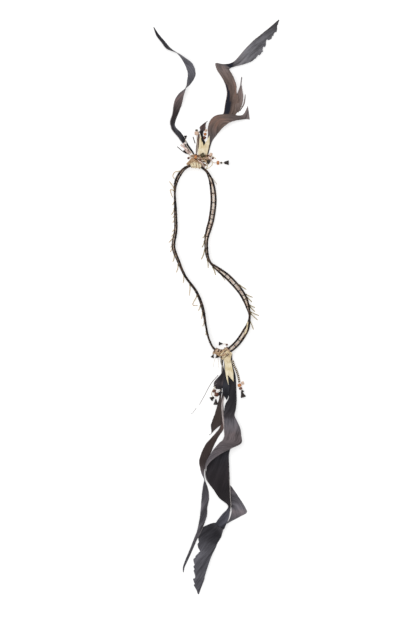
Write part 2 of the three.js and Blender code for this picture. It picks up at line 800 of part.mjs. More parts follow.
const blackSeed = look('#1b1512', 0.35);
const oliveSeed = look('#4a4024', 0.45);
const orangeBead = look('#c06a30', 0.3);
const pinkBead = look('#d9ab97', 0.4);
const darkBead = look('#4a2417', 0.35);

const leftString = string('front_left_thread', fromBinding, threadThick, routes.frontLeft);
bead('front_white_bead', leftString, 0.78, { long: 3, wide: 3.2, material: look('#cfc8c2', 0.4) });
seedAtEnd('front_cross_seed', leftString, { long: 4.2, wide: 4.4, material: blackSeed });

const sideString = string('front_side_thread', fromBinding, threadThick, routes.frontSide);
seedAtEnd('front_side_seed', sideString, { long: 5.4, wide: 6, material: blackSeed });

const dropString = string('front_drop_thread', fromBinding, threadThick, routes.frontDrop);
bead('front_amber_bead', dropString, 0.54, { long: 3.4, wide: 5.2, material: orangeBead });
bead('front_olive_bead', dropString, 0.80, { long: 2.2, wide: 2.8, material: oliveSeed });
seedAtEnd('front_heart_seed', dropString, { long: 6, wide: 5.6, material: blackSeed });

const topString = string('front_top_thread', fromBinding, threadThick, routes.frontTop);
bead('front_cream_bead', topString, 0.84, { long: 4.6, wide: 5.8, material: pinkBead });
bead('front_tip_bead', topString, 0.955, { long: 2.2, wide: 3.6, material: oliveSeed });

const rightString = string('front_right_thread', fromBinding, threadThick, routes.frontRight);
bead('front_pink_bead', rightString, 0.38, { long: 3, wide: 4, material: pinkBead });
bead('front_brown_bead', rightString, 0.84, { long: 2.2, wide: 3, material: darkBead });

const crossString = string('front_cross_thread', fromBinding, threadThick, routes.frontCross);
bead('front_dark_bead', crossString, 0.08, { long: 2.2, wide: 3, material: darkBead });
bead('front_orange_bead', crossString, 0.49, { long: 3.4, wide: 3.6, material: orangeBead });
bead('front_red_bead', crossString, 0.75, { long: 2.4, wide: 3, material: darkBead });
seedAtEnd('front_triangle_seed', crossString, { long: 5, wide: 4.6, material: blackSeed });

const innerString = string('rear_inner_thread', fromJoin, threadThick, routes.rearInner);
bead('rear_inner_bead', innerString, 0.22, { long: 2.2, wide: 2.8, material: darkBead });
seedAtEnd('rear_inner_seed', innerString, { long: 5, wide: 5, material: blackSeed });

const cordMaterial = look('#8d857c', 0.8);
const twistedCord = string('rear_twisted_cord', fromJoin, cordThick, routes.rearCord, cordMaterial);
const cordEnd = twistedCord.getPointAt(1).sub(point(0, pieceGap, 0));
const rearString = string('rear_drop_thread', cordEnd, threadThick, routes.rearDrop);
bead('rear_orange_bead', rearString, 0.32, { long: 3.6, wide: 4.2, material: orangeBead });
bead('rear_brown_bead', rearString, 0.72, { long: 3, wide: 3.6, material: darkBead });
seedAtEnd('rear_cone_seed', rearString, { long: 8.4, wide: 6.4, material: blackSeed });

const leftRearString = string('rear_left_thread', fromJoin, threadThick, routes.rearLeft);
bead('rear_red_bead', leftRearString, 0.6, { long: 5, wide: 5.8, material: darkBead });
seedAtEnd('rear_big_seed', leftRearString, { long: 7.4, wide: 6.6, material: blackSeed });

// The origin is under the middle of the whole piece
const whole = new THREE.Box3().setFromObject(headdress, true);
const middle = whole.getCenter(point());
headdress.position.set(-middle.x, -middle.y, -whole.min.z);

export default headdress;
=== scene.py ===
import math
from bisect import bisect
from types import SimpleNamespace

import bmesh
import bpy
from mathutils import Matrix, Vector, geometry, noise


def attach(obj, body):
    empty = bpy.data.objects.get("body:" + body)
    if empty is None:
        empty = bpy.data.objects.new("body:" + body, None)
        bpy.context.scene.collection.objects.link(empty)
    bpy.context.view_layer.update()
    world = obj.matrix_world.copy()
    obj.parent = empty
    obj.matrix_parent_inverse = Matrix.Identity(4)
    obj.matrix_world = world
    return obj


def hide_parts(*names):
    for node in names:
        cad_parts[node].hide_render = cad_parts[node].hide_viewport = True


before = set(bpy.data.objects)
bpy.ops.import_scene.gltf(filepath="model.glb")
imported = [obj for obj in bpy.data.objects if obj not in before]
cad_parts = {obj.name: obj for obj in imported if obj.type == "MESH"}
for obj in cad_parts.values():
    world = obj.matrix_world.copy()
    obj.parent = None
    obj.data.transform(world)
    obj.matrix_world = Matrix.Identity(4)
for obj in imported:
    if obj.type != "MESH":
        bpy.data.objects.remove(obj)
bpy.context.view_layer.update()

# Head loop: two stiff cores wound with dark cord, with a pale strip of hide
# stretched between them. It is one long closed run, lying twisted on the table
# and joined at the back under the rear lashing.

# Lengths are in millimetres and places are counted from the front of the loop. Names
# that end in STEPS and SIDES are how finely a piece is cut along and round it.
MM = 1000
LOOP_FRONT = Vector((-27.064, 183.135, 0))
LOOP_WIDTH, LOOP_LENGTH, RAISE_RUN = 98.8, 242, 60
RIM_THICK, RIM_SPACING, RIM_CLEAR = 2.6, 5.6, 0.15
RIM_STEPS, RIM_SIDES, RIM_SUNK, RIM_SWELL = 1500, 12, 0.14, 0.2
WINDING_PITCH = 1.7
STRIP_WIDTH, STRIP_THICK = 2.8, 1.2
STRIP_STEPS, STRIP_SIDES, STRIP_BOW, STRIP_UNEVEN = 900, 12, 0.12, 0.16
LASHING_WALL, LASHING_PLAY = 1.3, 0.7
FRONT_LASHING, REAR_LASHING = 14, 21
JOIN_GAP = 0.3
TABLE_TOP = 0.03
UP, RIGHT = Vector((0, 0, 1)), Vector((1, 0, 0))


def smoothly(value, low, high):
    part = min(1, max(0, (value - low) / (high - low)))
    return part * part * (3 - 2 * part)


def wobble(*spot):
    return noise.noise(Vector(spot))


def stations(start, end, steps):
    """Even steps from the start to the end, with both of them in."""
    return [start + (end - start) * i / steps for i in range(steps + 1)]


def table(columns, lines):
    """Rows with named columns. A row that stops early has 0 in what is left."""
    names = columns.split()
    return [SimpleNamespace(**(dict.fromkeys(names, 0) | dict(zip(names, line)))) for line in lines]


class Run:
    """A smooth line through a few chosen points."""

    SPAN_PARTS, STEP = 40, 1e-4

    def __init__(self, points, closed=False, even=False):
        self.points, self.closed, self.even = [Vector(p) for p in points], closed, even
        self.parts = self.SPAN_PARTS * len(self.points)
        spots = [self.at(i / self.parts) for i in range(self.parts + 1)]
        self.reached = [0.0]
        for a, b in zip(spots, spots[1:]):
            self.reached.append(self.reached[-1] + (b - a).length)
        self.length = self.reached[-1]

    def near(self, number):
        points, last = self.points, len(self.points) - 1
        if self.closed or 0 <= number <= last:
            return points[number % (last + 1)]
        return 2 * points[0] - points[1] if number < 0 else 2 * points[last] - points[last - 1]

    def at(self, place):
        spans = len(self.points) - (not self.closed)
        first = math.floor(place * spans) if self.closed else min(int(place * spans), spans - 1)
        part = place * spans - first
        a, b, c, d = (self.near(first + k) for k in (-1, 0, 1, 2))
        if self.even:
            start, end = (c - a) / 2, (d - b) / 2
        else:
            gaps = [math.sqrt((q - p).length) for p, q in ((a, b), (b, c), (c, d))]
            middle = gaps[1] or 1
            before, after = gaps[0] or middle, gaps[2] or middle
            start = ((b - a) / before - (c - a) / (before + middle)) * middle + (c - b)
            end = ((d - c) / after - (d - b) / (middle + after)) * middle + (c - b)
        bend = 3 * (c - b) - 2 * start - end
        twist = 2 * (b - c) + start + end
        return b + start * part + bend * part**2 + twist * part**3

    def place(self, share):
        """Where along the points a share of the length falls."""
        goal = min(max(share, 0), 1) * self.length
        low = min(bisect(self.reached, goal), self.parts) - 1
        span = self.reached[low + 1] - self.reached[low]
        return (low + (goal - self.reached[low]) / (span or 1)) / self.parts

    def spot(self, share):
        return self.at(self.place(share))

    def ahead(self, share):
        low, high = self.place(share) - self.STEP, self.place(share) + self.STEP
        if not self.closed:
            low, high = max(low, 0), min(high, 1)
        return (self.at(high) - self.at(low)).normalized()


class Body:
    """Rings of points that make one closed skin, and what each point tells the finish."""

    def __init__(self, joined=False):
        self.rings, self.tells, self.joined = [], {}, joined

    def ring(self, points, **tells):
        self.rings.append(points)
        for tell, values in tells.items():
            self.tells.setdefault(tell, []).extend(values)


def make(name, bodies, finish, node=None):
    """One piece from its bodies, in the place of the plain solid that it stands for."""
    mesh = bpy.data.meshes.new(name)
    points, faces, told = [], [], {"vane": [], "shade": [], "wound": []}
    for body in bodies:
        base, size, count = len(points), len(body.rings[0]), len(body.rings)
        for ring in body.rings:
            points += [(Vector((p.x, p.y, max(p.z, TABLE_TOP))) + LOOP_FRONT) / MM for p in ring]
        for number in range(count if body.joined else count - 1):
            here, there = base + number * size, base + (number + 1) % count * size
            for side in range(size):
                other = (side + 1) % size
                faces.append((here + side, here + other, there + other, there + side))
        if not body.joined:
            faces.append(tuple(range(base + size - 1, base - 1, -1)))
            faces.append(tuple(range(len(points) - size, len(points))))
        for tell, values in told.items():
            values += body.tells.get(tell) or [(0, 0, 0)] * (size * count)
    mesh.from_pydata(points, [], faces)
    for tell, values in told.items():
        layer = mesh.attributes.new(tell, "FLOAT_VECTOR", "POINT")
        layer.data.foreach_set("vector", [number for value in values for number in value])
    shell = bmesh.new()
    shell.from_mesh(mesh)
    bmesh.ops.recalc_face_normals(shell, faces=shell.faces)
    return fit(mesh, shell, finish, node)


def fit(mesh, shell, finish, node):
    shell.to_mesh(mesh)
    shell.free()
    mesh.shade_smooth()
    piece = bpy.data.objects.new(mesh.name, mesh)
    bpy.context.scene.collection.objects.link(piece)
    piece.data.materials.append(finish)
    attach(piece, "root")
    # A finish that shares its name with a plain solid's gets a number after a dot.
    if node:
        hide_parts(node)
    return piece


class Tone:
    """A value in a finish that can be used in sums."""

    def __init__(self, finish, socket):
        self.finish, self.socket = finish, socket

    def sum(self, operation, *values):
        values = {f"_{number}": value for number, value in enumerate(values)}
        return self.finish.node("Math", {"operation": operation}, **values)

    def __add__(self, other):
        return self.sum("ADD", self, other)

    __radd__ = __add__

    def __sub__(self, other):
        return self.sum("SUBTRACT", self, other)

    def __rsub__(self, other):
        return self.sum("SUBTRACT", other, self)

    def __mul__(self, other):
        return self.sum("MULTIPLY", self, other)

    __rmul__ = __mul__

    def __abs__(self):
        return self.sum("ABSOLUTE", self)

    def __floor__(self):
        return self.sum("FLOOR", self)

    def from_middle(self):
        """How far the value is from the middle between whole numbers, from 0 to 1."""
        return abs(self.sum("FRACT", self) - 0.5) * 2

    def ramp(self, low, high):
        smooth = {"interpolation_type": "SMOOTHSTEP"}
        return self.finish.node("MapRange", smooth, Value=self, From_Min=low, From_Max=high)


class Finish:
    """A surface finish, started from the numbers that are the same all over it."""

    COLOUR_A, COLOUR_B, COLOUR_OUT = "_6", "_7", 2

    def __init__(self, name, **constants):
        self.material = bpy.data.materials.new(name)
        self.material.use_nodes = True
        self.tree = self.material.node_tree
        self.shader = self.tree.nodes["Principled BSDF"]
        self.put(self.shader, **constants)

    def put(self, node, **values):
        """Sets or links sockets, which go by name or by _number. Colours are given without alpha."""
        for key, value in values.items():
            socket = node.inputs[int(key[1:]) if key[0] == "_" else key.replace("_", " ")]
            if isinstance(value, Tone):
                self.tree.links.new(value.socket, socket)
            else:
                socket.default_value = (*value, 1) if socket.type == "RGBA" else value

    def node(self, kind, settings=None, output=0, **values):
        made = self.tree.nodes.new("ShaderNode" + kind)
        for setting, value in (settings or {}).items():
            setattr(made, setting, value)
        self.put(made, **values)
        return Tone(self, made.outputs[output])

    def told(self, name, axis):
        """One number of what each point tells."""
        spot = self.node("Attribute", {"attribute_name": name}, "Vector")
        return self.node("SeparateXYZ", None, axis, Vector=spot)

    def vector(self, x, y, z=0.0):
        return self.node("CombineXYZ", X=x, Y=y, Z=z)

    def place(self, stretch=(1, 1, 1)):
        """The place on the object in millimetres, squeezed along its axes."""
        spot = self.node("TexCoord", None, "Object")
        return self.node("VectorMath", {"operation": "MULTIPLY"}, _0=spot, _1=[MM * part for part in stretch])

    def grain(self, scale, detail=2.0, spot=None, rough=0.55):
        spot = spot or self.place()
        return self.node("TexNoise", None, "Fac", Vector=spot, Scale=scale, Detail=detail, Roughness=rough)

    def blend(self, share, first, second):
        """A colour between two."""
        colours = {self.COLOUR_A: first, self.COLOUR_B: second}
        return self.node("Mix", {"data_type": "RGBA"}, self.COLOUR_OUT, Factor=share, **colours)

    def end(self, colour, roughness, height=None, depth=0.0001):
        self.put(self.shader, Base_Color=colour, Roughness=roughness)
        if height:
            self.put(self.shader, Normal=self.node("Bump", Height=height, Distance=depth, Strength=0.8))
        return self.material


loop_run = table("across down lean", [
    (0.351, 1.004, 55), (0.243, 0.980, 88), (0.178, 0.930, 90), (0.138, 0.860, 92),
    (0.095, 0.763, 105), (0.017, 0.679, 100), (-0.136, 0.591, 96), (-0.224, 0.511, 108),
    (-0.288, 0.435, 115), (-0.259, 0.344, 112), (-0.263, 0.237, 105), (-0.270, 0.129, 85),
    (-0.250, 0.081, 66), (-0.197, 0.040, 66), (-0.125, 0.010, 80), (0.007, -0.003, 92),
    (0.138, 0.027, 85), (0.182, 0.056, 70), (0.212, 0.091, 45), (0.238, 0.183, 8),
    (0.208, 0.290, 20), (0.175, 0.339, 30), (0.143, 0.398, 60), (0.159, 0.487, 72),
    (0.204, 0.523, 85), (0.276, 0.548, 60), (0.441, 0.603, 15), (0.599, 0.677, 20),
    (0.654, 0.718, 35), (0.691, 0.761, 62), (0.712, 0.804, 88), (0.696, 0.847, 70),
    (0.662, 0.882, 25), (0.553, 0.949, 5), (0.434, 0.991, 30),
])
FRONT_ROW = 15
loop_line = Run([(r.across * LOOP_WIDTH, -r.down * LOOP_LENGTH, 0) for r in loop_run], closed=True)
lean_line = Run([(r.lean, 0, 0) for r in loop_run], closed=True, even=True)
front_share = loop_line.reached[FRONT_ROW * Run.SPAN_PARTS] / loop_line.length
front_knot = loop_line.at(FRONT_ROW / len(loop_run))
rear_knot = loop_line.at(0)


def band_at(share):
    """The band's centre there, the way to its upper rim, and the way that its face looks."""
    share = share % 1
    place = loop_line.place(share)
    centre, ahead = loop_line.at(place), loop_line.ahead(share)
    lean = math.radians(lean_line.at(place).x)
    rims = Vector((-ahead.y, ahead.x, 0)).normalized() * math.cos(lean) + UP * math.sin(lean)
    face = rims.cross(ahead).normalized()
    nearest = min(abs(share - front_share), share, 1 - share) * loop_line.length
    raised = 1 - smoothly(nearest, REAR_LASHING / 2, RAISE_RUN)
    centre.z = (abs(rims.z) * RIM_SPACING + RIM_THICK) / 2 + raised * (LASHING_PLAY + LASHING_WALL)
    return centre, rims, face


def round_the_loop(steps):
    gap = JOIN_GAP / loop_line.length
    return stations(gap, 1 - gap, steps)


def rounded(turn, wide, thick):
    """A point on a slot-shaped outline at a share of its way round, and the way out there."""
    straight, half = wide - thick, thick / 2
    way, half_round = (turn % 1) * (2 * straight + math.pi * thick), straight + math.pi * half
    side, way = (1, way) if way < half_round else (-1, way - half_round)
    if way < straight:
        return side * (straight / 2 - way), side * half, 0, side
    angle = math.pi / 2 + (way - straight) / half
    a, b = side * math.cos(angle), side * math.sin(angle)
    return a * half - side * straight / 2, b * half, a, b


def circle(around, size):
    return size * math.cos(2 * math.pi * around), size * math.sin(2 * math.pi * around)


def bulge(turn):
    """0 between two turns of a winding and 1 at the middle of each."""
    return abs(math.sin(math.pi * turn))


def wound(places, sides, outline, body=None):
    """A body of turns. Each place is a centre, two ways across it, and the turns before it."""
    body = body or Body()
    for centre, across, over, before in places:
        told = [(before + k / sides, k / sides, 0) for k in range(sides)]
        spots = [outline(turn, around) for turn, around, _ in told]
        body.ring([centre + across * a + over * b for a, b in spots], wound=told)
    return body


def wound_finish(name, gap, main, other, share=0.3, fuzzy=0.5, third=None):
    """Cord laid turn against turn: each turn has its own colour, with painted shade at its sides."""
    finish = Finish(name, Specular_IOR_Level=0.15)
    turns, around = finish.told("wound", "X"), finish.told("wound", "Y")
    lot = finish.node("TexWhiteNoise", {"noise_dimensions": "1D"}, "Value", W=math.floor(turns))
    inside = turns.from_middle()
    fuzz, patch = finish.grain(2.2, 3.0), finish.grain(0.16)
    fibre = finish.grain(1.0, spot=finish.vector(turns * 6, around * 9))
    spread = lot * 0.55 + patch * 0.75 + fuzz * 0.2
    picked = finish.blend(spread.ramp(1.02 - share, 1.16 - share), main, other)
    if third:
        picked = finish.blend(((1 - lot) * 0.6 + patch * 0.8).ramp(0.74, 0.86), picked, third)
    # Painted shade: towards the sides of each turn the colour goes to the gap colour, shading the grooves.
    colour = finish.blend((inside + fuzz * fuzzy - 0.2).ramp(0.45, 1.05), picked, gap)
    return finish.end(colour, 0.6 + fibre * 0.3, fibre * 0.5 - inside * 0.4, 0.00015)


dark_winding = wound_finish(
    "dark_winding", (0.004, 0.003, 0.003), (0.016, 0.011, 0.010), (0.10, 0.062, 0.043)
)


def rim_outline(turn, around):
    return circle(around, RIM_THICK / 2 - RIM_SUNK + RIM_SWELL * bulge(turn))


for rim_name, side in (("band_rim_upper", 1), ("band_rim_lower", -1)):
    places = []
    for share in round_the_loop(RIM_STEPS):
        centre, rims, face = band_at(share)
        centre += rims * (side * RIM_SPACING / 2) + UP * RIM_CLEAR
        places.append((centre, rims, face, share * loop_line.length / WINDING_PITCH))
    make(rim_name + "_wound", [wound(places, RIM_SIDES, rim_outline)], dark_winding, rim_name)

hide = Finish("pale_strip_hide", Specular_IOR_Level=0.2)
mottle, pore = hide.grain(0.16, 3.0), hide.grain(1.1, 3.0)
hide_colour = hide.blend(mottle.ramp(0.35, 0.6), (0.52, 0.38, 0.30), (0.80, 0.69, 0.58))
hide_colour = hide.blend(pore.ramp(0.52, 0.68) * 0.6, hide_colour, (0.14, 0.085, 0.06))
pale_strip = hide.end(hide_colour, 0.62 + pore * 0.3, pore, 0.0002)
strip = Body()
for share in round_the_loop(STRIP_STEPS):
    centre, rims, face = band_at(share)
    along = share * loop_line.length
    bow = STRIP_BOW * wobble(along / 9, 0, 3)
    narrow = 1 - STRIP_UNEVEN + STRIP_UNEVEN * wobble(along / 5, 4, 3)
    spots = [rounded(k / STRIP_SIDES, STRIP_WIDTH * narrow, STRIP_THICK) for k in range(STRIP_SIDES)]
    strip.ring([centre + rims * a + face * (b * 0.85 + bow) for a, b, *_ in spots])
make("band_strip_hide", [strip], pale_strip, "band_strip")

# Carried winding: here and there the dark cord is taken across the band from one rim
# to the other, over its face and back under it, before the winding goes on.
CARRIED_THICK, CARRIED_PITCH, CARRIED_PROUD = 1.0, 1.2, 1.25
CARRIED_EVERY, CARRIED_STRAY, CARRIED_SLANT, CARRIED_RIDGE, CARRIED_ROUND = 9.5, 12, 1.8, 0.15, 0.7
REAR_CLEAR, FRONT_CLEAR = 3, 2


def strand(points, thick, pitch=1.0, sides=8, ridge=0.1, flat=1.0, taper=0, step=0.6):
    """A thread, tie or cord along a few points, with its twist."""
    line, places = Run(points), []
    for share in stations(0, 1, max(4, round(line.length / step))):
        ahead, size = line.ahead(share), thick / 2 * (1 - taper * share)
        side = ahead.cross(UP)
        side = side.normalized() if side.length > 1e-3 else RIGHT
        over = side.cross(ahead) * flat
        places.append((line.spot(share), side * size, over * size, share * line.length / pitch))
    return wound(places, sides, lambda turn, around: circle(around, 1 - ridge * (1 - bulge(turn))))


carried, run = [], REAR_LASHING / 2 + REAR_CLEAR
reach = (RIM_SPACING + RIM_THICK * CARRIED_ROUND) / 2
while run < loop_line.length - REAR_LASHING / 2 - REAR_CLEAR:
    ends = [band_at(spot / loop_line.length) for spot in (run, run + CARRIED_SLANT * wobble(run, 2, 2))]
    (start, up, out), (end, down, away) = ends
    if abs(run - front_share * loop_line.length) >= FRONT_LASHING / 2 + FRONT_CLEAR:
        for way in (1, -1):
            middle = (start + end) / 2 + out * way * CARRIED_PROUD
            points = [start + up * reach + out * way, middle, end - down * reach + away * way]
            carried.append(strand(points, CARRIED_THICK, CARRIED_PITCH, ridge=CARRIED_RIDGE))
    run += CARRIED_EVERY + CARRIED_STRAY * wobble(run * 0.7, 9, 1)
make("band_carried_winding", carried, dark_winding)

# Lashings: waxed tan thread wound over the whole band, once at the front where the
# feathers are bound on and once at the back over the join, turn against turn in
# two layers with pinkish turns among the tan ones.
THREAD_THICK, THREAD_PITCH = 0.8, 1.05
LASHING_STEPS, LASHING_SIDES, FIRST_TURN = 90, 40, 50
LASHING_SWELL, LASHING_SUNK, LASHING_UNEVEN = 0.4, 0.5, 0.25
HOLD = RIM_SPACING + RIM_THICK + 2 * LASHING_PLAY

tan_lashing = wound_finish(
    "tan_lashing", (0.055, 0.028, 0.016), (0.42, 0.26, 0.15), (0.70, 0.53, 0.40), 0.55, 0.3,
    (0.12, 0.06, 0.035)
)
cream_lashing = wound_finish(
    "cream_lashing", (0.22, 0.15, 0.09), (0.72, 0.62, 0.43), (0.80, 0.73, 0.58), 0.5, 0.3, (0.50, 0.32, 0.20)
)


def sleeve(places, sides, wide, thick, swell):
    """Thread wound round a flat bundle: its outside swells with each turn, its inside is plain."""
    def outer(turn, around):
        a, b, out_a, out_b = rounded(around, wide, thick)
        proud = swell(turn, b)
        return a + out_a * proud, b + out_b * proud

    def inner(_, around):
        return rounded(around, wide - 2 * LASHING_WALL, thick - 2 * LASHING_WALL)[:2]

    return wound(places[::-1], sides, inner, wound(places, sides, outer, Body(joined=True)))


def lashing_swell(turn, _):
    return LASHING_SWELL * bulge(turn) - LASHING_SUNK + LASHING_UNEVEN * wobble(math.floor(turn), 5, 0)


def lashing(name, middle, length, finish):
    half = length / 2 / loop_line.length
    places = [(*band_at(share), (share - middle) * loop_line.length / THREAD_PITCH + FIRST_TURN)
              for share in stations(middle - half, middle + half, LASHING_STEPS)]
    wide = HOLD + 2 * LASHING_WALL
    thread = sleeve(places, LASHING_SIDES, wide, wide - RIM_SPACING, lashing_swell)
    make(name + "_thread", [thread], finish, name)


lashing("front_lashing", front_share, FRONT_LASHING, cream_lashing)
lashing("rear_lashing", 0, REAR_LASHING, tan_lashing)

# Binding: the roots of the front feathers are held in a flat bundle by more of the
# tan thread, wound across it, with a few loose turns drawn over the top.
BINDING_WIDE, BINDING_LONG, BINDING_MIDDLE = 26, 9.6, 7.2
BINDING_STEPS, BINDING_SIDES, BINDING_TURN = 70, 60, 20
BINDING_SWELL, BINDING_SUNK, BINDING_FLAT, TURNS_PROUD = 0.35, 0.4, 0.05, 0.35
VANE_THICK, PIECE_GAP = 1.1, 0.3
QUILL_FLOOR, QUILL_PITCH = 2, 2.34
TAB_THICK = 1.5
tab_floor = QUILL_FLOOR + VANE_THICK + PIECE_GAP
binding_high = tab_floor + TAB_THICK + PIECE_GAP + LASHING_WALL
binding_floor = front_knot.y + RIM_THICK / 2 + LASHING_PLAY + LASHING_WALL + 2 * PIECE_GAP
binding_middle = Vector((BINDING_MIDDLE, binding_floor + BINDING_LONG / 2, 0))


def binding_swell(turn, height):
    """The underside stays flat, because the headdress lies on it."""
    swell = BINDING_SWELL * bulge(turn) - BINDING_SUNK
    return swell if height > 0 else min(swell, -BINDING_FLAT)


places = [
    (Vector((BINDING_MIDDLE, binding_floor + along, binding_high / 2)), RIGHT, UP,
     along / THREAD_PITCH + BINDING_TURN)
    for along in stations(0, BINDING_LONG, BINDING_STEPS)
]
thread = sleeve(places, BINDING_SIDES, BINDING_WIDE, binding_high, binding_swell)
make("front_binding_thread", [thread], tan_lashing, "front_binding")
binding_top = binding_middle + UP * (binding_high + TURNS_PROUD)
make("front_binding_turns", [strand([binding_top + Vector(p) for p in points], THREAD_THICK) for points in (
    ((-9, -4.4, -0.5), (-4, -1, 0), (1, 2.2, 0), (5, 4.4, 0)),
    ((-8, 2.6, -0.4), (-3, 1.2, 0.3), (3, -1.6, 0), (8.5, -4.2, -0.5)),
    ((-3.5, 4.6, 0), (0.5, 0.5, 0.2), (2.2, -4.4, 0)),
    ((2.5, 4.6, 0), (5.5, 1.4, 0.2), (9.5, -1.4, -0.5)),
)], tan_lashing)

# Tabs: a forked piece of raw hide at the front and one at the back, cut with two
# points, cream with a yellow cast and a fine grain that runs towards the points.
EDGE_SPACING, NET_SPACING, NET_STAGGER = 0.9, 1.1, 0.03
HIDE_THICK, HIDE_EDGE, TAB_CUP = 1.1, 0.3, 0.15
REAR_TUCK = 5.6
rear_roots = rear_knot.y - REAR_TUCK

raw = Finish("cream_hide_tab", Specular_IOR_Level=0.2)
fibre, cloud = raw.grain(1.0, 4.0, raw.place((0.9, 0.07, 1))), raw.grain(0.11, 3.0)
tab_colour = raw.blend(cloud.ramp(0.35, 0.65), (0.65, 0.53, 0.31), (0.84, 0.75, 0.55))
tab_colour = raw.blend(fibre.ramp(0.48, 0.72) * 0.6, tab_colour, (0.38, 0.26, 0.13))
cream_hide = raw.end(tab_colour, 0.5 + fibre * 0.25, fibre, 0.0003)


def tab(name, at, turn, long, wide, rise, outline):
    """A hide plate: its outline filled with a fine net, bent, and given its thickness."""
    corners = [Vector((across * wide, along * long)) for across, along in outline]
    edge = []
    for a, b in zip(corners, corners[1:] + corners[:1]):
        steps = max(1, round((b - a).length / EDGE_SPACING))
        edge += [a.lerp(b, k / steps) for k in range(steps)]
    low, high = (Vector((pick(p.x for p in edge), pick(p.y for p in edge))) for pick in (min, max))
    columns, lines = (int(span / NET_SPACING) for span in high - low)
    net = [low + Vector((NET_SPACING * i + NET_STAGGER * (j % 2), NET_SPACING * j))
           for i in range(1, columns) for j in range(1, lines)]
    loops = [(k, (k + 1) % len(edge)) for k in range(len(edge))]
    spots, _, faces, *_ = geometry.delaunay_2d_cdt(edge + net, loops, [], 1, 1e-5)
    across, along = Vector((math.cos(turn), math.sin(turn), 0)), Vector((-math.sin(turn), math.cos(turn), 0))
    shell, placed = bmesh.new(), []
    for spot in spots:
        x, y = spot.x / wide, spot.y / long
        lift = TAB_THICK / 2 + rise * y + TAB_CUP * math.cos(math.pi * x) * y
        place = at + across * spot.x + along * spot.y + UP * lift
        placed.append(shell.verts.new((place + LOOP_FRONT) / MM))
    for face in faces:
        shell.faces.new([placed[k] for k in face])
    bmesh.ops.recalc_face_normals(shell, faces=shell.faces)
    piece = fit(bpy.data.meshes.new(name + "_hide"), shell, cream_hide, name)
    depth = piece.modifiers.new("thickness", "SOLIDIFY")
    depth.thickness, depth.offset = HIDE_THICK / MM, 0
    rim = piece.modifiers.new("rounded edge", "BEVEL")
    rim.width, rim.segments, rim.limit_method = HIDE_EDGE / MM, 2, "ANGLE"


tab("front_tab", Vector((BINDING_MIDDLE + 1.9, binding_floor + PIECE_GAP, tab_floor)), 0, 35.6, 13.6, 0, [
    (-0.40, 0), (-0.43, 0.23), (-0.42, 0.43), (-0.34, 0.61), (-0.30, 0.81), (-0.20, 1),
    (0.12, 0.58), (0.68, 0.97), (0.68, 0.71), (0.57, 0.47), (0.40, 0.23), (0.36, 0),
])
tab("rear_tab", Vector((rear_knot.x + 6, rear_roots + 1.6, tab_floor + 0.4)), math.pi, 37.7, 10.4, 2.6, [
    (0.40, 0.02), (0.28, 0.24), (0.20, 0.50), (0.06, 0.76), (-0.22, 1), (-0.10, 0.64),
    (-0.85, 0.88), (-0.79, 0.53), (-0.60, 0.26), (-0.42, 0.02),
])

# Feathers: large flight feathers stripped down one side, so that each is a long
# vane with a thin strip of its shaft on one edge. Dried out of shape they fold and
# turn over, and their barbs have parted and frayed along the free edge.

# Each row across a vane gives its middle in shares of the reach, its width in shares of
# the widest, its turn and tilt in degrees, its lift in centimetres, how light it is (partly
# its own tone and partly painted light and shade), how brown it is, and how much of it
# is painted shade where the vane curls or folds over.
VANE_COLUMNS = "across along wide turn tilt lift tone warm hem"
VANE_RISE = 10
VANE_SPOTS = (-1, -0.95, -0.85, -0.7, -0.5, -0.25, 0, 0.25, 0.5, 0.7, 0.85, 0.95, 1)
RINGS_EACH = 7
SHAFT_SIDES, SHAFT_IN, SHAFT_TAPER, SHAFT_PROUD, SHAFT_DEEP, LEAST_SHOWN = 8, 0.96, 0.6, 0.05, 1.1, 0.15
CORE_SHARE, EDGE_THINNER, RIPPLE = 0.42, 0.32, 0.16
FRAY_FULL, CUP_FULL, SHAFT_FULL = 3, 4, 1.2
NARROWEST, LEAST_EDGE, BARE_ENDS, FOLD_SHADE_SOFT = 0.05, 0.2, 0.02, 0.08


def feather_finish(name, dark, light, warm, shaft, lean=0.4):
    """Barbs in slanting streaks from dark to light, with a warm cast where a row asks for it."""
    finish = Finish(name, Specular_IOR_Level=0.12, Sheen_Weight=0.04, Sheen_Roughness=0.4)
    away, along, rachis = (finish.told("vane", axis) for axis in "XYZ")
    tone, cast, hem = (finish.told("shade", axis) for axis in "XYZ")
    slant = away - along * lean
    broad = finish.grain(1.0, 3.0, finish.vector(slant * 0.17, along * 0.03, 4.0))
    streak = finish.grain(1.0, 3.0, finish.vector(slant * 0.55, along * 0.05))
    barbs = finish.grain(1.0, 2.0, finish.vector(slant * 2.4, along * 0.25), 0.7)
    uneven = (broad - 0.5) * 1.9 + (streak - 0.5) * 1.5 + (barbs - 0.5) * 0.6
    # Each row's tone is partly the feather's own tone and partly painted light and shade; it rises further
    # out across the vane.
    depth = (tone + away * 0.011 * tone + uneven * (0.1 + tone)).ramp(-0.1, 1.0)
    colour = finish.blend(depth, dark, light)
    reddish = (warm[0] * 1.25, warm[1] * 0.72, warm[2] * 0.5)
    red = finish.blend(broad.ramp(0.5, 0.66) * 0.32, warm, reddish)
    warmed = finish.blend(depth, [part * 0.12 for part in warm], red)
    colour = finish.blend(cast, colour, warmed)
    # Painted shade: near black over the share of a row that curls or folds over into shade.
    colour = finish.blend(hem, colour, (0.010, 0.011, 0.020))
    colour = finish.blend(rachis * (0.75 + (barbs - 0.5) * 0.5), colour, shaft)
    height = barbs * 0.7 + streak * 0.5 + rachis * 0.3
    return finish.end(colour, 0.4 + streak * 0.28 + cast * 0.05, height, 0.00022)


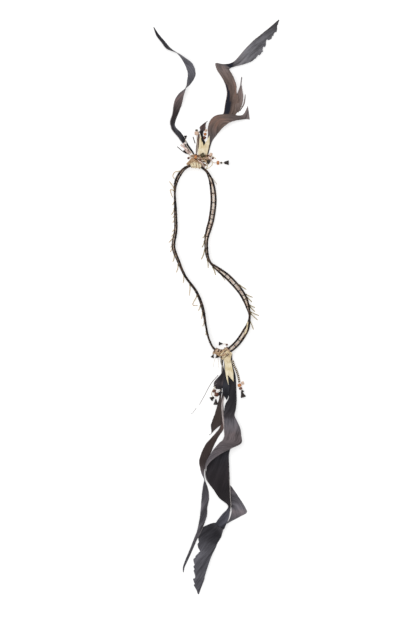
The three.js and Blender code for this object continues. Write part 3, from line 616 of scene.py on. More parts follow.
grey_vane = feather_finish(
    "grey_vane", (0.009, 0.008, 0.011), (0.20, 0.195, 0.225), (0.25, 0.165, 0.145), (0.30, 0.27, 0.27)
)
brown_vane = feather_finish(
    "brown_vane", (0.010, 0.008, 0.009), (0.20, 0.195, 0.215), (0.25, 0.17, 0.14), (0.20, 0.15, 0.135), 0.1
)
dark_vane = feather_finish(
    "dark_vane", (0.004, 0.004, 0.007), (0.10, 0.10, 0.125), (0.13, 0.085, 0.08), (0.40, 0.37, 0.36)
)
pale_shaft = feather_finish(
    "pale_shaft", (0.05, 0.04, 0.045), (0.42, 0.38, 0.38), (0.36, 0.27, 0.24), (0.50, 0.44, 0.42)
)


def between(rows, column, place):
    first = min(int(place), len(rows) - 2)
    a, b = (getattr(rows[first + k], column) for k in (0, 1))
    return a + (b - a) * smoothly(place - first, 0, 1)


def vane(root, heading, tuck, reach, width, lines, fray=(0.25, 0.25), teeth=None, shaft=0, shaft_thick=0.9,
         cup=0.3, bare=(0, 1)):
    """The vane and its strip of shaft. Teeth are (side, from, to, every, deep) and shaft is its side."""
    rows, bars, middles = table(VANE_COLUMNS, lines), [], []
    for row in rows:
        way, slope = math.radians(row.turn), math.radians(row.tilt)
        flat = math.cos(slope)
        bar = Vector((flat * math.cos(way), flat * math.sin(way), math.sin(slope))) * row.wide * width / 2
        high = row.lift * VANE_RISE + abs(bar.z) + VANE_THICK / 2
        middles.append(Vector((root.x + row.across * reach, root.y + heading * row.along * reach, high)))
        bars.append(bar)
    tucked = middles[0] - Vector((0, heading * tuck, 0))
    spine, spread = Run([tucked] + middles), Run([bars[0]] + bars, even=True)
    web, quill, along, before = Body(), Body(), 0.0, spine.at(0)

    def edge(side):
        """How far out the frayed edge on one side is, as a share of the half width."""
        fuzz = wobble(along * 0.9, side * 7, width) + 0.6 * wobble(along * 2.3, side * 3, width)
        cut = fray[side > 0] * fuzz * min(1, half / FRAY_FULL)
        if teeth and teeth[0] == side and teeth[1] < share < teeth[2]:
            phase = (along / teeth[3] + 0.35 * wobble(along / 14, width, 2)) % 1
            cut += teeth[4] * (phase - 0.45) * min(1, half / CUP_FULL)
        return max(LEAST_EDGE, 1 - cut / half)

    for share in stations(0, 1, len(rows) * RINGS_EACH):
        middle, bar = spine.at(share), spread.at(share)
        face = bar.cross(spine.at(min(share + 1e-3, 1)) - spine.at(max(share - 1e-3, 0))).normalized()
        along += (middle - before).length
        before = middle
        half = max(bar.length, NARROWEST)
        place = max(0, share * len(rows) - 1)
        tone, warm, hem = (between(rows, column, place) for column in ("tone", "warm", "hem"))
        left, right = edge(-1), edge(1)
        top, bottom, said, shades = [], [], [], []
        for spot in VANE_SPOTS:
            thick = VANE_THICK * (CORE_SHARE - EDGE_THINNER * abs(spot) ** 3)
            bow = cup * (0.5 - spot * spot) * min(1, half / CUP_FULL)
            ripple = RIPPLE * wobble(along * 0.16, spot * 1.3, width) * min(1, half / FRAY_FULL)
            centre = middle + bar * spot * (right if spot > 0 else left) + face * (bow + ripple)
            top.append(centre + face * thick)
            bottom.append(centre - face * thick)
            said.append((half - shaft * spot * half if shaft else abs(spot) * half, along, 0))
            # The third number says whether painted fold shade covers this spot of the row.
            shades.append((tone, warm, smoothly(2 * hem - 1 - spot, -FOLD_SHADE_SOFT, FOLD_SHADE_SOFT) if hem else 0))
        web.ring(top + bottom[::-1], vane=said + said[::-1], shade=shades + shades[::-1])
        if shaft and share:
            centre = middle + bar * shaft * SHAFT_IN * (right if shaft > 0 else left) + face * SHAFT_PROUD
            thick = shaft_thick / 2 * (1 - SHAFT_TAPER * share) * min(1, half / SHAFT_FULL)
            spots = [circle(k / SHAFT_SIDES, thick) for k in range(SHAFT_SIDES)]
            starts = smoothly(share, bare[0] - BARE_ENDS, bare[0] + BARE_ENDS)
            shown = starts * smoothly(-share, -bare[1] - BARE_ENDS, BARE_ENDS - bare[1])
            quill.ring([centre + bar.normalized() * a + face * b * SHAFT_DEEP for a, b in spots],
                       vane=[(0, along, LEAST_SHOWN + (1 - LEAST_SHOWN) * shown)] * SHAFT_SIDES,
                       shade=[(tone, warm, 0)] * SHAFT_SIDES)
    return [web, quill] if quill.rings else [web]


def front_feather(name, slot, reach, width, finish, lines, **looks):
    root = Vector((BINDING_MIDDLE + slot * QUILL_PITCH, binding_floor + BINDING_LONG + PIECE_GAP, 0))
    make(name + "_vane", vane(root, 1, BINDING_LONG, reach, width, lines, **looks), finish, name)
    return root


front_feather("front_feather_left", -3.9, 166, 10.4, grey_vane, [
    (0, 0, 0.15, 0, 0, 0.2, 0.05),
    (-0.061, 0.078, 0.55, 38, -25, 0.1, 0.02),
    (-0.113, 0.156, 0.75, 38, -25, 0, 0.14),
    (-0.16, 0.211, 0.8, 38, -42, 0, 0.3),
    (-0.166, 0.258, 0.9, 10, -42, 0, 0.1, 0.2),
    (-0.148, 0.312, 0.95, -15, -45, 0.05, 0.08, 0.5),
    (-0.129, 0.391, 1, -18, 10, 0.15, 0.28, 0.6),
    (-0.114, 0.437, 1, -18, 25, 0.15, 0.32, 0.6),
    (-0.094, 0.477, 1, -30, 55, 0.1, 0.4, 0.5),
    (-0.066, 0.516, 0.95, -37, 85, 0, 0.4, 0.2),
    (-0.037, 0.57, 1, -22, 125, 0, 0.5),
    (-0.018, 0.633, 1, 0, 165, 0.1, 0.48),
    (-0.036, 0.695, 1, 28, 205, 0.15, 0.42),
    (-0.076, 0.742, 0.9, 45, 242, 0.1, 0.32),
    (-0.125, 0.789, 0.75, 60, 268, 0, 0.3),
    (-0.203, 0.836, 0.8, 45, 306, 0, 0.18),
    (-0.242, 0.883, 0.58, 45, 318, 0.05, 0.12),
    (-0.285, 0.937, 0.45, 42, 325, 0.05, 0.1),
    (-0.316, 1, 0.08, 20, 330, 0.05, 0.1),
], shaft=-1)
front_feather("front_strip_brown", -2.5, 27, 3.4, brown_vane, [
    (0, 0, 0.45, 0, 0, 0.2, 0.25, 0.9),
    (0.04, 0.35, 0.9, -10, 0, 0.2, 0.35, 0.9),
    (0.09, 0.72, 1, -8, 0, 0.2, 0.45, 0.9),
    (0.11, 1, 0.6, 0, 0, 0.2, 0.5, 0.9),
], fray=(0.4, 0.4), shaft=-1, shaft_thick=0.7)
front_feather("front_feather_small", 1.37, 43, 7.3, dark_vane, [
    (0, 0, 0.2, 0, 0, 0.2, 0.05),
    (0.01, 0.33, 0.62, 0, 0, 0.15, 0),
    (-0.045, 0.515, 0.5, 0, 0, 0.15, 0),
    (-0.055, 0.68, 0.6, 0, 0, 0.2, 0.05, 0.4),
    (-0.021, 0.779, 0.98, 5, 0, 0.25, 0.5, 0.9),
    (-0.022, 0.86, 1.08, 12, 8, 0.3, 0.7, 1),
    (0.012, 0.927, 0.98, 28, 15, 0.35, 0.8, 1),
    (0.112, 1, 0.3, 45, 20, 0.4, 0.5, 1),
], fray=(0.5, 0.5))
TALL_LONG = 175.5
tall_root = front_feather("front_feather_tall", 2.45, TALL_LONG, 19.5, brown_vane, [
    (0, 0, 0.08, 0, 0, 0.2, 0.1),
    (0.022, 0.07, 0.12, 0, 0, 0.03, 0.1),
    (0.078, 0.185, 0.3, -40, 0, 0, 0.2, 0.5),
    (0.137, 0.252, 0.6, -35, 0, 0, 0.28, 0.8, 0.4),
    (0.184, 0.311, 0.88, 0, 0, 0.02, 0.36, 0.9, 0.43),
    (0.196, 0.37, 0.93, 0, 0, 0.1, 0.4, 0.9, 0.42),
    (0.2, 0.419, 0.84, 0, 10, 0.2, 0.4, 0.9, 0.34),
    (0.195, 0.459, 0.66, 0, 12, 0.3, 0.42, 0.9, 0.3),
    (0.19, 0.507, 0.74, 0, 15, 0.4, 0.42, 0.85, 0.16),
    (0.174, 0.552, 0.78, 0, 15, 0.4, 0.44, 0.8),
    (0.152, 0.593, 0.83, 0, 12, 0.3, 0.46, 0.7),
    (0.13, 0.63, 0.88, -5, 10, 0.2, 0.5, 0.55),
    (0.126, 0.656, 1, -24, 5, 0.1, 0.45, 0.45),
    (0.152, 0.653, 0.64, -35, 20, 0, 0.4, 0.3),
    (0.183, 0.659, 0.38, -68, 35, 0, 0, 0, 1),
    (0.226, 0.676, 0.42, -70, 20, 0.1, 0.5, 0.1),
    (0.274, 0.704, 0.69, -61, 5, 0.25, 0.58, 0.05),
    (0.319, 0.737, 0.93, -60, 0, 0.35, 0.56),
    (0.359, 0.774, 0.96, -56, -5, 0.35, 0.52),
    (0.39, 0.802, 1, -56, -5, 0.3, 0.48),
    (0.402, 0.825, 0.81, -58, -5, 0.3, 0.44),
    (0.419, 0.841, 0.76, -52, -5, 0.25, 0.42),
    (0.437, 0.871, 0.56, -54, -5, 0.2, 0.38),
    (0.461, 0.884, 0.67, -42, -5, 0.2, 0.36),
    (0.484, 0.911, 0.54, -47, 0, 0.15, 0.36),
    (0.506, 0.935, 0.47, -39, 0, 0.1, 0.3),
    (0.524, 0.968, 0.24, -35, 0, 0.05, 0.2),
    (0.545, 1, 0.05, -35, 0, 0, 0.1),
], fray=(0.15, 0.3), teeth=(1, 0.66, 0.97, 7.5, 1.9), shaft=-1)
front_feather("front_feather_curl", 3.75, 55, 18.2, brown_vane, [
    (0, 0, 0.09, 0, 0, 0.2, 0.1, 0.5),
    (0.035, 0.188, 0.16, -5, 0, 0.2, 0.15, 0.4),
    (0.052, 0.329, 0.33, -10, 0, 0.18, 0.35, 0.3),
    (0.094, 0.459, 0.57, -15, 0, 0.17, 0.36, 0.5),
    (0.146, 0.6, 0.9, -15, 3, 0.28, 0.4, 0.75),
    (0.224, 0.736, 1.1, -24, 8, 0.5, 0.4, 0.95),
    (0.306, 0.807, 1.05, -40, 8, 0.5, 0.42, 0.9),
    (0.43, 0.852, 0.8, -52, 12, 0.4, 0.44, 0.8),
    (0.6, 0.875, 0.58, -60, 22, 0.2, 0.44, 0.6),
    (0.765, 0.875, 0.42, -78, 40, 0, 0.46, 0.5),
    (0.875, 0.906, 0.45, -72, 20, 0, 0.52, 0.45),
    (0.969, 0.995, 1, -82, 5, 0, 0.56, 0.4),
], fray=(0.15, 0.35), shaft=-1)


def barb(name, across, along, reach, width, lines):
    """A part of the tall feather's vane that has split away from it."""
    root = tall_root + Vector((across, along, 0)) * TALL_LONG
    make(name + "_vane", vane(root, 1, 0.5, reach, width, lines, shaft=1, shaft_thick=0.5), brown_vane, name)


barb("front_barb_long", 0.247, 0.330, 43, 3.4, [
    (0, 0, 0.5, 0, 0, 0.1, 0.6, 0.8),
    (0.066, 0.197, 1, 0, 0, 0.2, 0.7, 0.7),
    (0.094, 0.408, 0.95, 0, 0, 0.3, 0.75, 0.6),
    (0.079, 0.589, 0.7, 0, 0, 0.35, 0.7, 0.5),
    (0.06, 0.74, 0.45, 0, 0, 0.4, 0.6, 0.4),
    (0.085, 0.96, 0.4, 0, 0, 0.45, 0.4, 0.3),
    (0.09, 1, 0.25, 0, 0, 0.45, 0.4, 0.3),
])
barb("front_barb_short", 0.256, 0.326, 21, 1.7, [
    (0, 0, 0.6, -30, 0, 0, 0.7, 0.8),
    (0.217, 0.371, 1, -25, 0, 0, 0.75, 0.7),
    (0.297, 0.712, 0.8, -10, 0, 0.1, 0.75, 0.5),
    (0.322, 1, 0.5, 0, 0, 0.2, 0.6, 0.5),
])

# Between the tall feather and its split barbs a thin web of barbs still holds on.
make("front_barb_web_vane", vane(Vector((54, 70.2, 0)), 1, 0.5, 1, 1, [
    (0, 0, 5, 0, 0, 0.05, 0.5, 0.8),
    (1.7, 8, 8.5, 0, -4, 0.08, 0.6, 0.75),
    (2.9, 16, 9.2, 0, -6, 0.12, 0.7, 0.7),
    (3.4, 22, 8.2, 0, -6, 0.16, 0.68, 0.6),
    (4.4, 28, 4.8, 0, 0, 0.22, 0.6, 0.55),
    (5, 34, 2.2, 0, 0, 0.27, 0.55, 0.5),
    (5.4, 37, 0.4, 0, 0, 0.3, 0.5, 0.5),
], fray=(0.5, 0.9)), brown_vane)


def rear_feather(name, slot, reach, width, finish, lines, tuck=2.6, **looks):
    root = Vector((rear_knot.x + slot * QUILL_PITCH, rear_roots, 0))
    make(name + "_vane", vane(root, -1, tuck, reach, width, lines, **looks), finish, name)


rear_feather("rear_feather_fold", -0.5, 40.3, 14.3, dark_vane, [
    (0, 0, 0.12, 0, 0, 0.2, 0.2, 0.5),
    (0, 0.16, 0.12, 0, 0, 0.2, 0.2, 0.5),
    (0.07, 0.38, 0.15, 0, 0, 0.2, 0.2, 0.4),
    (0.055, 0.548, 0.36, -10, 0, 0.2, 0.25, 0.3),
    (0, 0.71, 0.72, -20, 0, 0.2, 0.2, 0.4),
    (-0.06, 0.839, 0.98, -15, 0, 0.2, 0.3, 0.4),
    (-0.085, 0.952, 0.84, -8, 0, 0.2, 0.15, 0.3),
    (-0.1, 1.03, 0.42, -5, 0, 0.2, 0.1, 0.3),
], shaft=-1)
rear_feather("rear_feather_brown", 0.6, 100.8, 14.3, brown_vane, [
    (0, 0, 0.12, 0, 0, 0.2, 0.2, 0.6),
    (-0.01, 0.06, 0.12, 0, 0, 0.02, 0.2, 0.6),
    (-0.018, 0.297, 0.15, 0, 0, 0.02, 0.2, 0.6),
    (-0.04, 0.529, 0.2, 0, 0, 0.05, 0.15, 0.6),
    (-0.05, 0.632, 0.42, 0, 0, 0.17, 0.2, 0.6),
    (-0.063, 0.723, 0.62, 0, 0, 0.2, 0.12, 0.8),
    (-0.082, 0.813, 0.82, 0, 5, 0.2, 0.1, 0.8),
    (-0.094, 0.877, 0.95, 10, 8, 0.15, 0.1, 0.6),
    (-0.121, 0.942, 0.55, 35, 15, 0.1, 0.1, 0.5),
    (-0.153, 0.981, 0.3, 45, 10, 0.06, 0.1, 0.5),
    (-0.178, 1, 0.08, 45, 0, 0.04, 0.1, 0.5),
], fray=(0.35, 0.35))
rear_feather("rear_feather_left", 2.3, 279.5, 11.7, grey_vane, [
    (0, 0, 0.13, 0, 0, 0.2, 0.2, 0.3),
    (-0.004, 0.04, 0.13, 0, 0, 0.02, 0.2, 0.3),
    (-0.005, 0.107, 0.16, 0, 0, 0, 0.2, 0.3),
    (-0.018, 0.2, 0.22, 0, 0, 0, 0.25, 0.4),
    (-0.017, 0.26, 0.3, 0, 0, 0, 0.3, 0.5),
    (-0.016, 0.298, 0.38, 0, 0, 0, 0.35, 0.6),
    (-0.024, 0.335, 0.45, -25, 0, 0, 0.28, 0.8),
    (-0.041, 0.358, 0.5, -35, 0, 0, 0.2, 0.8),
    (-0.061, 0.386, 0.68, -30, 0, 0, 0.1, 0.9),
    (-0.077, 0.409, 0.9, -25, 5, 0, 0.08, 0.9),
    (-0.096, 0.451, 1, -15, 8, 0, 0.05, 0.8),
    (-0.1085, 0.484, 0.85, 0, 5, 0, 0.05, 0.7),
    (-0.11, 0.512, 0.58, 10, 10, 0, 0.15, 0.5),
    (-0.109, 0.54, 0.42, 10, 48, 0, 0.3, 0.2),
    (-0.102, 0.567, 0.5, 5, 88, 0, 0.45),
    (-0.099, 0.595, 0.7, 0, 125, 0, 0.38, 0.1),
    (-0.097, 0.628, 0.85, 0, 150, 0.05, 0.36, 0.1),
    (-0.098, 0.66, 0.9, 0, 160, 0.1, 0.36, 0.1),
    (-0.103, 0.698, 0.8, 0, 155, 0.2, 0.38, 0.1),
    (-0.106, 0.735, 0.85, 0, 155, 0.3, 0.36, 0.1),
    (-0.114, 0.767, 0.75, -10, 148, 0.35, 0.34, 0.1),
    (-0.126, 0.805, 0.6, -20, 140, 0.35, 0.45, 0.1),
    (-0.142, 0.842, 0.45, -22, 140, 0.25, 0.4, 0.1),
    (-0.165, 0.898, 0.38, -22, 140, 0.1, 0.35, 0.1),
    (-0.185, 0.944, 0.3, -22, 150, 0, 0.3),
    (-0.198, 0.977, 0.2, -12, 150, 0, 0.3),
    (-0.2, 1, 0.08, 0, 150, 0, 0.25),
], shaft=-1)
rear_feather("rear_shaft_pale", 1.36, 103, 2.6, pale_shaft, [
    (0, 0, 0.55, 0, 0, 0.2, 0.3, 0.5),
    (0, 0.1, 0.55, 0, 0, 0.2, 0.3, 0.5),
    (0.014, 0.22, 0.55, 0, 0, 0.2, 0.3, 0.5),
    (0.022, 0.35, 0.55, 0, 0, 0.2, 0.35, 0.4),
    (0.008, 0.44, 0.55, 0, 0, 0.2, 0.4, 0.4),
    (-0.016, 0.52, 0.7, 0, 0, 0.23, 0.5, 0.3),
    (-0.031, 0.595, 0.9, 0, 0, 0.34, 0.7, 0.2),
    (-0.027, 0.68, 1, 0, 0, 0.38, 0.75, 0.2),
    (-0.017, 0.785, 0.9, 0, 0, 0.38, 0.7, 0.2),
    (-0.005, 0.89, 0.7, 0, 0, 0.38, 0.6, 0.2),
    (0.003, 1, 0.4, 0, 0, 0.38, 0.5, 0.2),
], fray=(0.2, 0.2), cup=0.1)
rear_feather("rear_feather_short", 3.3, 58.5, 9.1, dark_vane, [
    (0, 0, 0.17, 0, 0, 0.2, 0.1),
    (-0.01, 0.33, 0.22, 0, 0, 0.36, 0.15),
    (-0.04, 0.58, 0.95, 0, 0, 0.36, 0.2),
    (-0.051, 0.778, 0.93, 0, 0, 0.36, 0.15),
    (-0.036, 0.88, 0.5, 0, 0, 0.36, 0.1),
    (-0.03, 0.945, 0.08, 0, 0, 0.34, 0.1),
], fray=(0.4, 0.4))
rear_feather("rear_feather_blade", 4.2, 217, 28.6, dark_vane, [
    (0, 0, 0.06, 0, 0, 0.2, 0.3, 0.4),
    (0.003, 0.03, 0.06, 0, 0, 0.02, 0.3, 0.4),
    (0.01, 0.108, 0.07, 0, 0, 0, 0.3, 0.3),
    (0.02, 0.228, 0.1, 0, 0, 0, 0.25, 0.2),
    (0.013, 0.329, 0.18, 0, 0, 0.1, 0.2),
    (0.003, 0.437, 0.32, 0, 0, 0.2, 0.25),
    (-0.012, 0.515, 0.36, 0, 0, 0.25, 0.25),
    (-0.046, 0.581, 0.62, 0, 0, 0.35, 0.2, 0.1),
    (-0.07, 0.653, 1.02, 0, 0, 0.46, 0.12, 0.3),
    (-0.066, 0.725, 1, 0, 0, 0.46, 0.1, 0.4),
    (-0.047, 0.79, 0.77, 0, 0, 0.4, 0.08, 0.4),
    (-0.028, 0.844, 0.5, 0, 0, 0.38, 0.08, 0.4),
    (-0.002, 0.886, 0.15, 0, 0, 0.4, 0.2, 0.4),
    (-0.008, 0.916, 0.18, -30, 0, 0.45, 0.7),
    (-0.03, 0.958, 0.38, -38, 0, 0.54, 0.6),
    (-0.062, 1.012, 0.48, -28, 0, 0.54, 0.32),
], tuck=4.1, shaft=1, shaft_thick=1.9, bare=(0.62, 0.90))
rear_feather("rear_feather_main", 5.1, 308, 22, grey_vane, [
    (0, 0, 0.08, 0, 0, 0.2, 0.3, 0.3),
    (0.001, 0.038, 0.13, 0, 0, 0.2, 0.05),
    (0.003, 0.072, 0.36, 0, 0, 0.18, 0.03),
    (0.003, 0.105, 0.46, 0, 0, 0.2, 0.02),
    (0.004, 0.15, 0.47, 0, 0, 0.2, 0.02),
    (0.005, 0.172, 0.47, 0, 0, 0.26, 0.02),
    (-0.002, 0.196, 0.64, 0, 0, 0.44, 0.03, 0.1),
    (-0.006, 0.219, 0.68, 0, 0, 0.52, 0.06, 0.1),
    (-0.01, 0.245, 0.65, 0, 0, 0.55, 0.15, 0.2),
    (-0.003, 0.27, 0.77, 0, 0, 0.6, 0.38, 0.1),
    (0.004, 0.3, 0.94, 0, 0, 0.65, 0.45, 0.2),
    (0.006, 0.329, 1, 0, 0, 0.65, 0.42, 0.4),
    (0.003, 0.354, 1.12, -10, 5, 0.65, 0.4, 0.4),
    (-0.025, 0.371, 0.8, -25, 15, 0.62, 0.38, 0.35),
    (-0.055, 0.392, 0.62, -32, 35, 0.6, 0.38, 0.3),
    (-0.08, 0.416, 0.52, -35, 55, 0.5, 0.36, 0.2),
    (-0.1, 0.441, 0.44, -40, 68, 0.5, 0.34, 0.2),
    (-0.11, 0.473, 0.3, -40, 86, 0.2, 0.5, 0.3),
    (-0.099, 0.502, 0.36, 51, 163, 0, 0.4, 0.2),
    (-0.067, 0.532, 0.66, 52, 174, 0, 0.22, 0.2),
    (-0.025, 0.565, 0.92, 58, 176, 0, 0.25, 0.2),
    (0.013, 0.608, 0.74, 50, 176, 0, 0.36, 0.1),
    (0.029, 0.635, 0.82, 4, 176, 0.05, 0.5, 0.1),
    (0.033, 0.652, 0.91, -5, 174, 0.1, 0.55, 0.25),
    (0.018, 0.667, 0.58, -15, 165, 0.05, 0.5, 0.2),
    (-0.003, 0.687, 0.34, -35, 125, 0, 0.4, 0.1),
    (-0.025, 0.704, 0.18, -40, 80, 0, 0.35, 0.1),
    (-0.048, 0.714, 0.6, -50, 15, 0, 0.25, 0.1),
    (-0.069, 0.731, 1.05, -45, 5, 0, 0.05),
    (-0.097, 0.759, 1.3, -34, 0, 0, 0.1),
    (-0.103, 0.8, 1.05, -5, 0, 0.05, 0.26),
    (-0.106, 0.823, 0.83, 0, 5, 0.1, 0.32),
    (-0.119, 0.84, 0.98, 0, 5, 0.15, 0.32),
    (-0.129, 0.882, 0.84, 0, 5, 0.2, 0.3),
    (-0.133, 0.922, 0.61, 0, 5, 0.15, 0.32),
    (-0.137, 0.939, 0.63, 0, 5, 0.1, 0.32),
    (-0.14, 0.97, 0.38, 0, 0, 0.05, 0.35),
    (-0.139, 1, 0.05, 0, 0, 0, 0.3),
], tuck=4.9, fray=(0.3, 0.15), teeth=(-1, 0.80, 0.99, 9, 2.2), shaft=1, shaft_thick=1.2, bare=(0.455, 0.53))
leaf_root = Vector((rear_knot.x - 0.4, rear_knot.y - 50.4, 0))
make("rear_small_leaf_vane", vane(leaf_root, -1, 0.1, 8.6, 4.6, [
    (0, 0, 0.3, -53, 0, 0.34, 0.2, 0.3),
    (-0.3, 0.22, 0.95, -53, 0, 0.34, 0.2, 0.3),
    (-0.65, 0.46, 0.75, -53, 0, 0.34, 0.15, 0.3),
    (-0.95, 0.7, 0.2, -53, 0, 0.34, 0.15, 0.3),
]), dark_vane, "rear_small_leaf")

# Strings: pale twisted thread tied into the bindings, strung with glass and clay
# beads and ended with black seed shells that have been drilled and cut open.
STRING_THICK, STRING_PITCH, STRING_SIDES, STRING_RIDGE, STRING_STEP = 0.8, 0.9, 10, 0.16, 0.3
TURNED_SIDES, BEAD_HOLE, BEAD_END, BEAD_STEPS, SEED_TIP = 24, 0.5, 0.7, 6, 0.02
SEED_SHOULDER, SEED_LIP = 8, 0.9
SEED_OUTLINE = (
    (0, 0), (0.2, 0.01), (0.32, 0.08), (0.40, 0.25), (0.52, 0.45), (0.74, 0.65), (0.93, 0.8),
    (1, 0.9), (0.98, 0.97), (0.9, 1), (0.82, 0.96), (0.5, 0.86), (0, 0.82),
)
pale_thread = wound_finish(
    "pale_thread", (0.20, 0.14, 0.10), (0.62, 0.52, 0.40), (0.80, 0.70, 0.58), 0.5, 0.25
)


def string(name, anchor, *points):
    placed = [Vector(p) + anchor for p in points]
    twist = strand(placed, STRING_THICK, STRING_PITCH, STRING_SIDES, STRING_RIDGE, step=STRING_STEP)
    make(name + "_twist", [twist], pale_thread, name)
    return Run(placed)


def polished(name, deep, light, rough, coat=0.15):
    finish = Finish(name, Specular_IOR_Level=0.25, Coat_Weight=coat, Coat_Roughness=0.2)
    cloud, speck = finish.grain(0.5, 3.0), finish.grain(2.4, 3.0)
    colour = finish.blend((cloud * 0.6 + speck * 0.4).ramp(0.35, 0.65), deep, light)
    return finish.end(colour, rough + speck * 0.15, speck, 0.00008)


black_seed = polished("black_seed", (0.006, 0.004, 0.004), (0.030, 0.019, 0.015), 0.3, 0.1)
olive_seed = polished("olive_seed", (0.025, 0.018, 0.008), (0.11, 0.085, 0.035), 0.35, 0.1)
orange_bead = polished("orange_bead", (0.33, 0.085, 0.02), (0.62, 0.28, 0.10), 0.2)
pink_bead = polished("pink_bead", (0.46, 0.27, 0.18), (0.74, 0.56, 0.44), 0.45, 0.05)
dark_bead = polished("dark_bead", (0.05, 0.012, 0.007), (0.17, 0.055, 0.028), 0.25)
white_bead = polished("white_bead", (0.45, 0.40, 0.38), (0.78, 0.74, 0.70), 0.4, 0.1)


def turned(at, direction, profile, drilled=False):
    """A turned body: each place in the profile is a radius and a height along the direction."""
    side = direction.orthogonal().normalized()
    over = direction.cross(side)
    body = Body(joined=drilled)
    for radius, high in profile:
        spots = [circle(k / TURNED_SIDES, radius) for k in range(TURNED_SIDES)]
        body.ring([at + direction * high + side * a + over * b for a, b in spots])
    return body


def bead(name, line, share, long, wide, finish):
    reach = long / 2 / line.length
    enters, leaves = line.spot(share - reach), line.spot(share + reach)
    centre = line.spot(share).lerp((enters + leaves) / 2, 0.5)
    heights = [math.sin(math.pi / 2 * k / BEAD_STEPS) for k in range(-BEAD_STEPS, BEAD_STEPS + 1)]
    outside = [(wide / 2 * (BEAD_END + (1 - BEAD_END) * math.sqrt(1 - t * t)), t * long / 2) for t in heights]
    profile = [(BEAD_HOLE, -long / 2), *outside, (BEAD_HOLE, long / 2)]
    make(name + "_turned", [turned(centre, (leaves - enters).normalized(), profile, True)], finish, name)


def seed(name, at, direction, long, wide, finish, full=0.0, node=None):
    """A cup-shaped shell with a thick rim. A full one is rounder towards its point."""
    profile = []
    for radius, high in SEED_OUTLINE:
        radius = max(SEED_TIP, radius * wide / 2)
        radius += full * (wide / 2 - radius) * min(1, SEED_SHOULDER * high) * (high < SEED_LIP)
        profile.append((radius, high * long))
    make(name + "_shell", [turned(at, direction, profile)], finish, node)


def end_seed(name, line, long, wide, full=0.0):
    ahead = line.ahead(1)
    seed(name, line.spot(1) + ahead * PIECE_GAP, ahead, long, wide, black_seed, full, name)


left_string = string("front_left_thread", binding_middle,
                     (-10.4, 5.4, 5.4), (-15.5, 12, 6.2), (-20, 19.5, 6.4), (-20, 25, 6.2))
bead("front_white_bead", left_string, 0.78, 3, 3.2, white_bead)
end_seed("front_cross_seed", left_string, 4.2, 4.4)
side_string = string("front_side_thread", binding_middle,
                     (-13.7, 3.4, 4.6), (-16, 5.2, 4.4), (-17.4, 6.6, 4.3))
end_seed("front_side_seed", side_string, 5.4, 6, 0.5)
drop_string = string("front_drop_thread", binding_middle,
                     (13.5, -3.4, 3.2), (17, -5.2, 3), (22, -5.5, 3), (29.6, -5.4, 3.2))
bead("front_amber_bead", drop_string, 0.54, 3.4, 5.2, orange_bead)
bead("front_olive_bead", drop_string, 0.80, 2.2, 2.8, olive_seed)
end_seed("front_heart_seed", drop_string, 6.2, 6.2, 0.35)
top_string = string("front_top_thread", binding_middle,
                    (-5.2, 5.4, 4.6), (-4.9, 15.3, 4.8), (-5.4, 25.7, 5.4), (-5.8, 38, 5.6))
bead("front_cream_bead", top_string, 0.84, 4.6, 5.8, pink_bead)
bead("front_tip_bead", top_string, 0.955, 2.2, 3.6, olive_seed)
right_string = string("front_right_thread", binding_middle,
                      (8.6, 5.2, 7.7), (11.3, 5.6, 8.7), (13.9, 4.2, 8.5),
                      (15.2, 0.4, 6.8), (15.5, -1.4, 5.8))
bead("front_pink_bead", right_string, 0.38, 3.4, 4.8, pink_bead)
bead("front_brown_bead", right_string, 0.84, 2.2, 3, dark_bead)
cross_string = string("front_cross_thread", binding_middle,
                      (-18, 0.3, 2.4), (-14.6, 0.8, 5), (-11, 1.5, 7.8), (-5.9, 1.7, 8.8),
                      (-2.8, -0.4, 8.6), (-0.7, -2.2, 8.6), (3, -3, 9), (5.4, -3.7, 9.6))
bead("front_dark_bead", cross_string, 0.08, 2.2, 3, dark_bead)
bead("front_orange_bead", cross_string, 0.49, 3.4, 4.8, orange_bead)
bead("front_red_bead", cross_string, 0.75, 2.4, 3, dark_bead)
end_seed("front_triangle_seed", cross_string, 5.6, 5.8, 0.3)

inner_string = string("rear_inner_thread", rear_knot, (7.2, 9.8, 4), (4.6, 11.6, 3.4), (1, 11.8, 3.2))
bead("rear_inner_bead", inner_string, 0.22, 2.2, 2.8, dark_bead)
end_seed("rear_inner_seed", inner_string, 5, 5)
rear_left_string = string("rear_left_thread", rear_knot, (-2.4, -48.2, 5.4), (-5.8, -50.2, 7.6),
                          (-7.4, -52.8, 7.8), (-8.2, -56, 7.8), (-8.2, -59.4, 7.6))
bead("rear_red_bead", rear_left_string, 0.6, 5, 5.8, dark_bead)
end_seed("rear_big_seed", rear_left_string, 7.4, 6.6)

# Twisted cord: a strip of grey hide twisted hard on itself, hanging from the rear
# lashing, with an orange bead, a brown bead and a long cone-shaped seed on its end.
CORD_THICK, CORD_PITCH, CORD_SIDES = 3.2, 2.5, 20
cord_points = [Vector(p) + rear_knot for p in (
    (13.4, -9.4, 5.2), (15.2, -15.7, 4.4), (19.3, -24.8, 2.4), (21.9, -35.2, 2), (22.3, -38.6, 2))]
grey_hide = Finish("grey_cord_twist", Specular_IOR_Level=0.2)
fold, nap = grey_hide.told("wound", "X").from_middle(), grey_hide.grain(1.8, 3.0)
cord_colour = grey_hide.blend(nap.ramp(0.35, 0.65), (0.46, 0.38, 0.29), (0.74, 0.66, 0.55))
# Painted shade: the hide goes near black in the grooves between the twists.
cord_colour = grey_hide.blend((fold + nap * 0.2).ramp(0.5, 0.7), cord_colour, (0.022, 0.014, 0.012))
grey_cord = grey_hide.end(cord_colour, 0.55 + nap * 0.3, nap * 0.4 - fold * 0.6, 0.0002)
cord = strand(cord_points, CORD_THICK, CORD_PITCH, CORD_SIDES, 0.2, step=0.25)
make("rear_twisted_cord_twist", [cord], grey_cord, "rear_twisted_cord")
cord_end = cord_points[-1] - Vector((0, PIECE_GAP, 0))
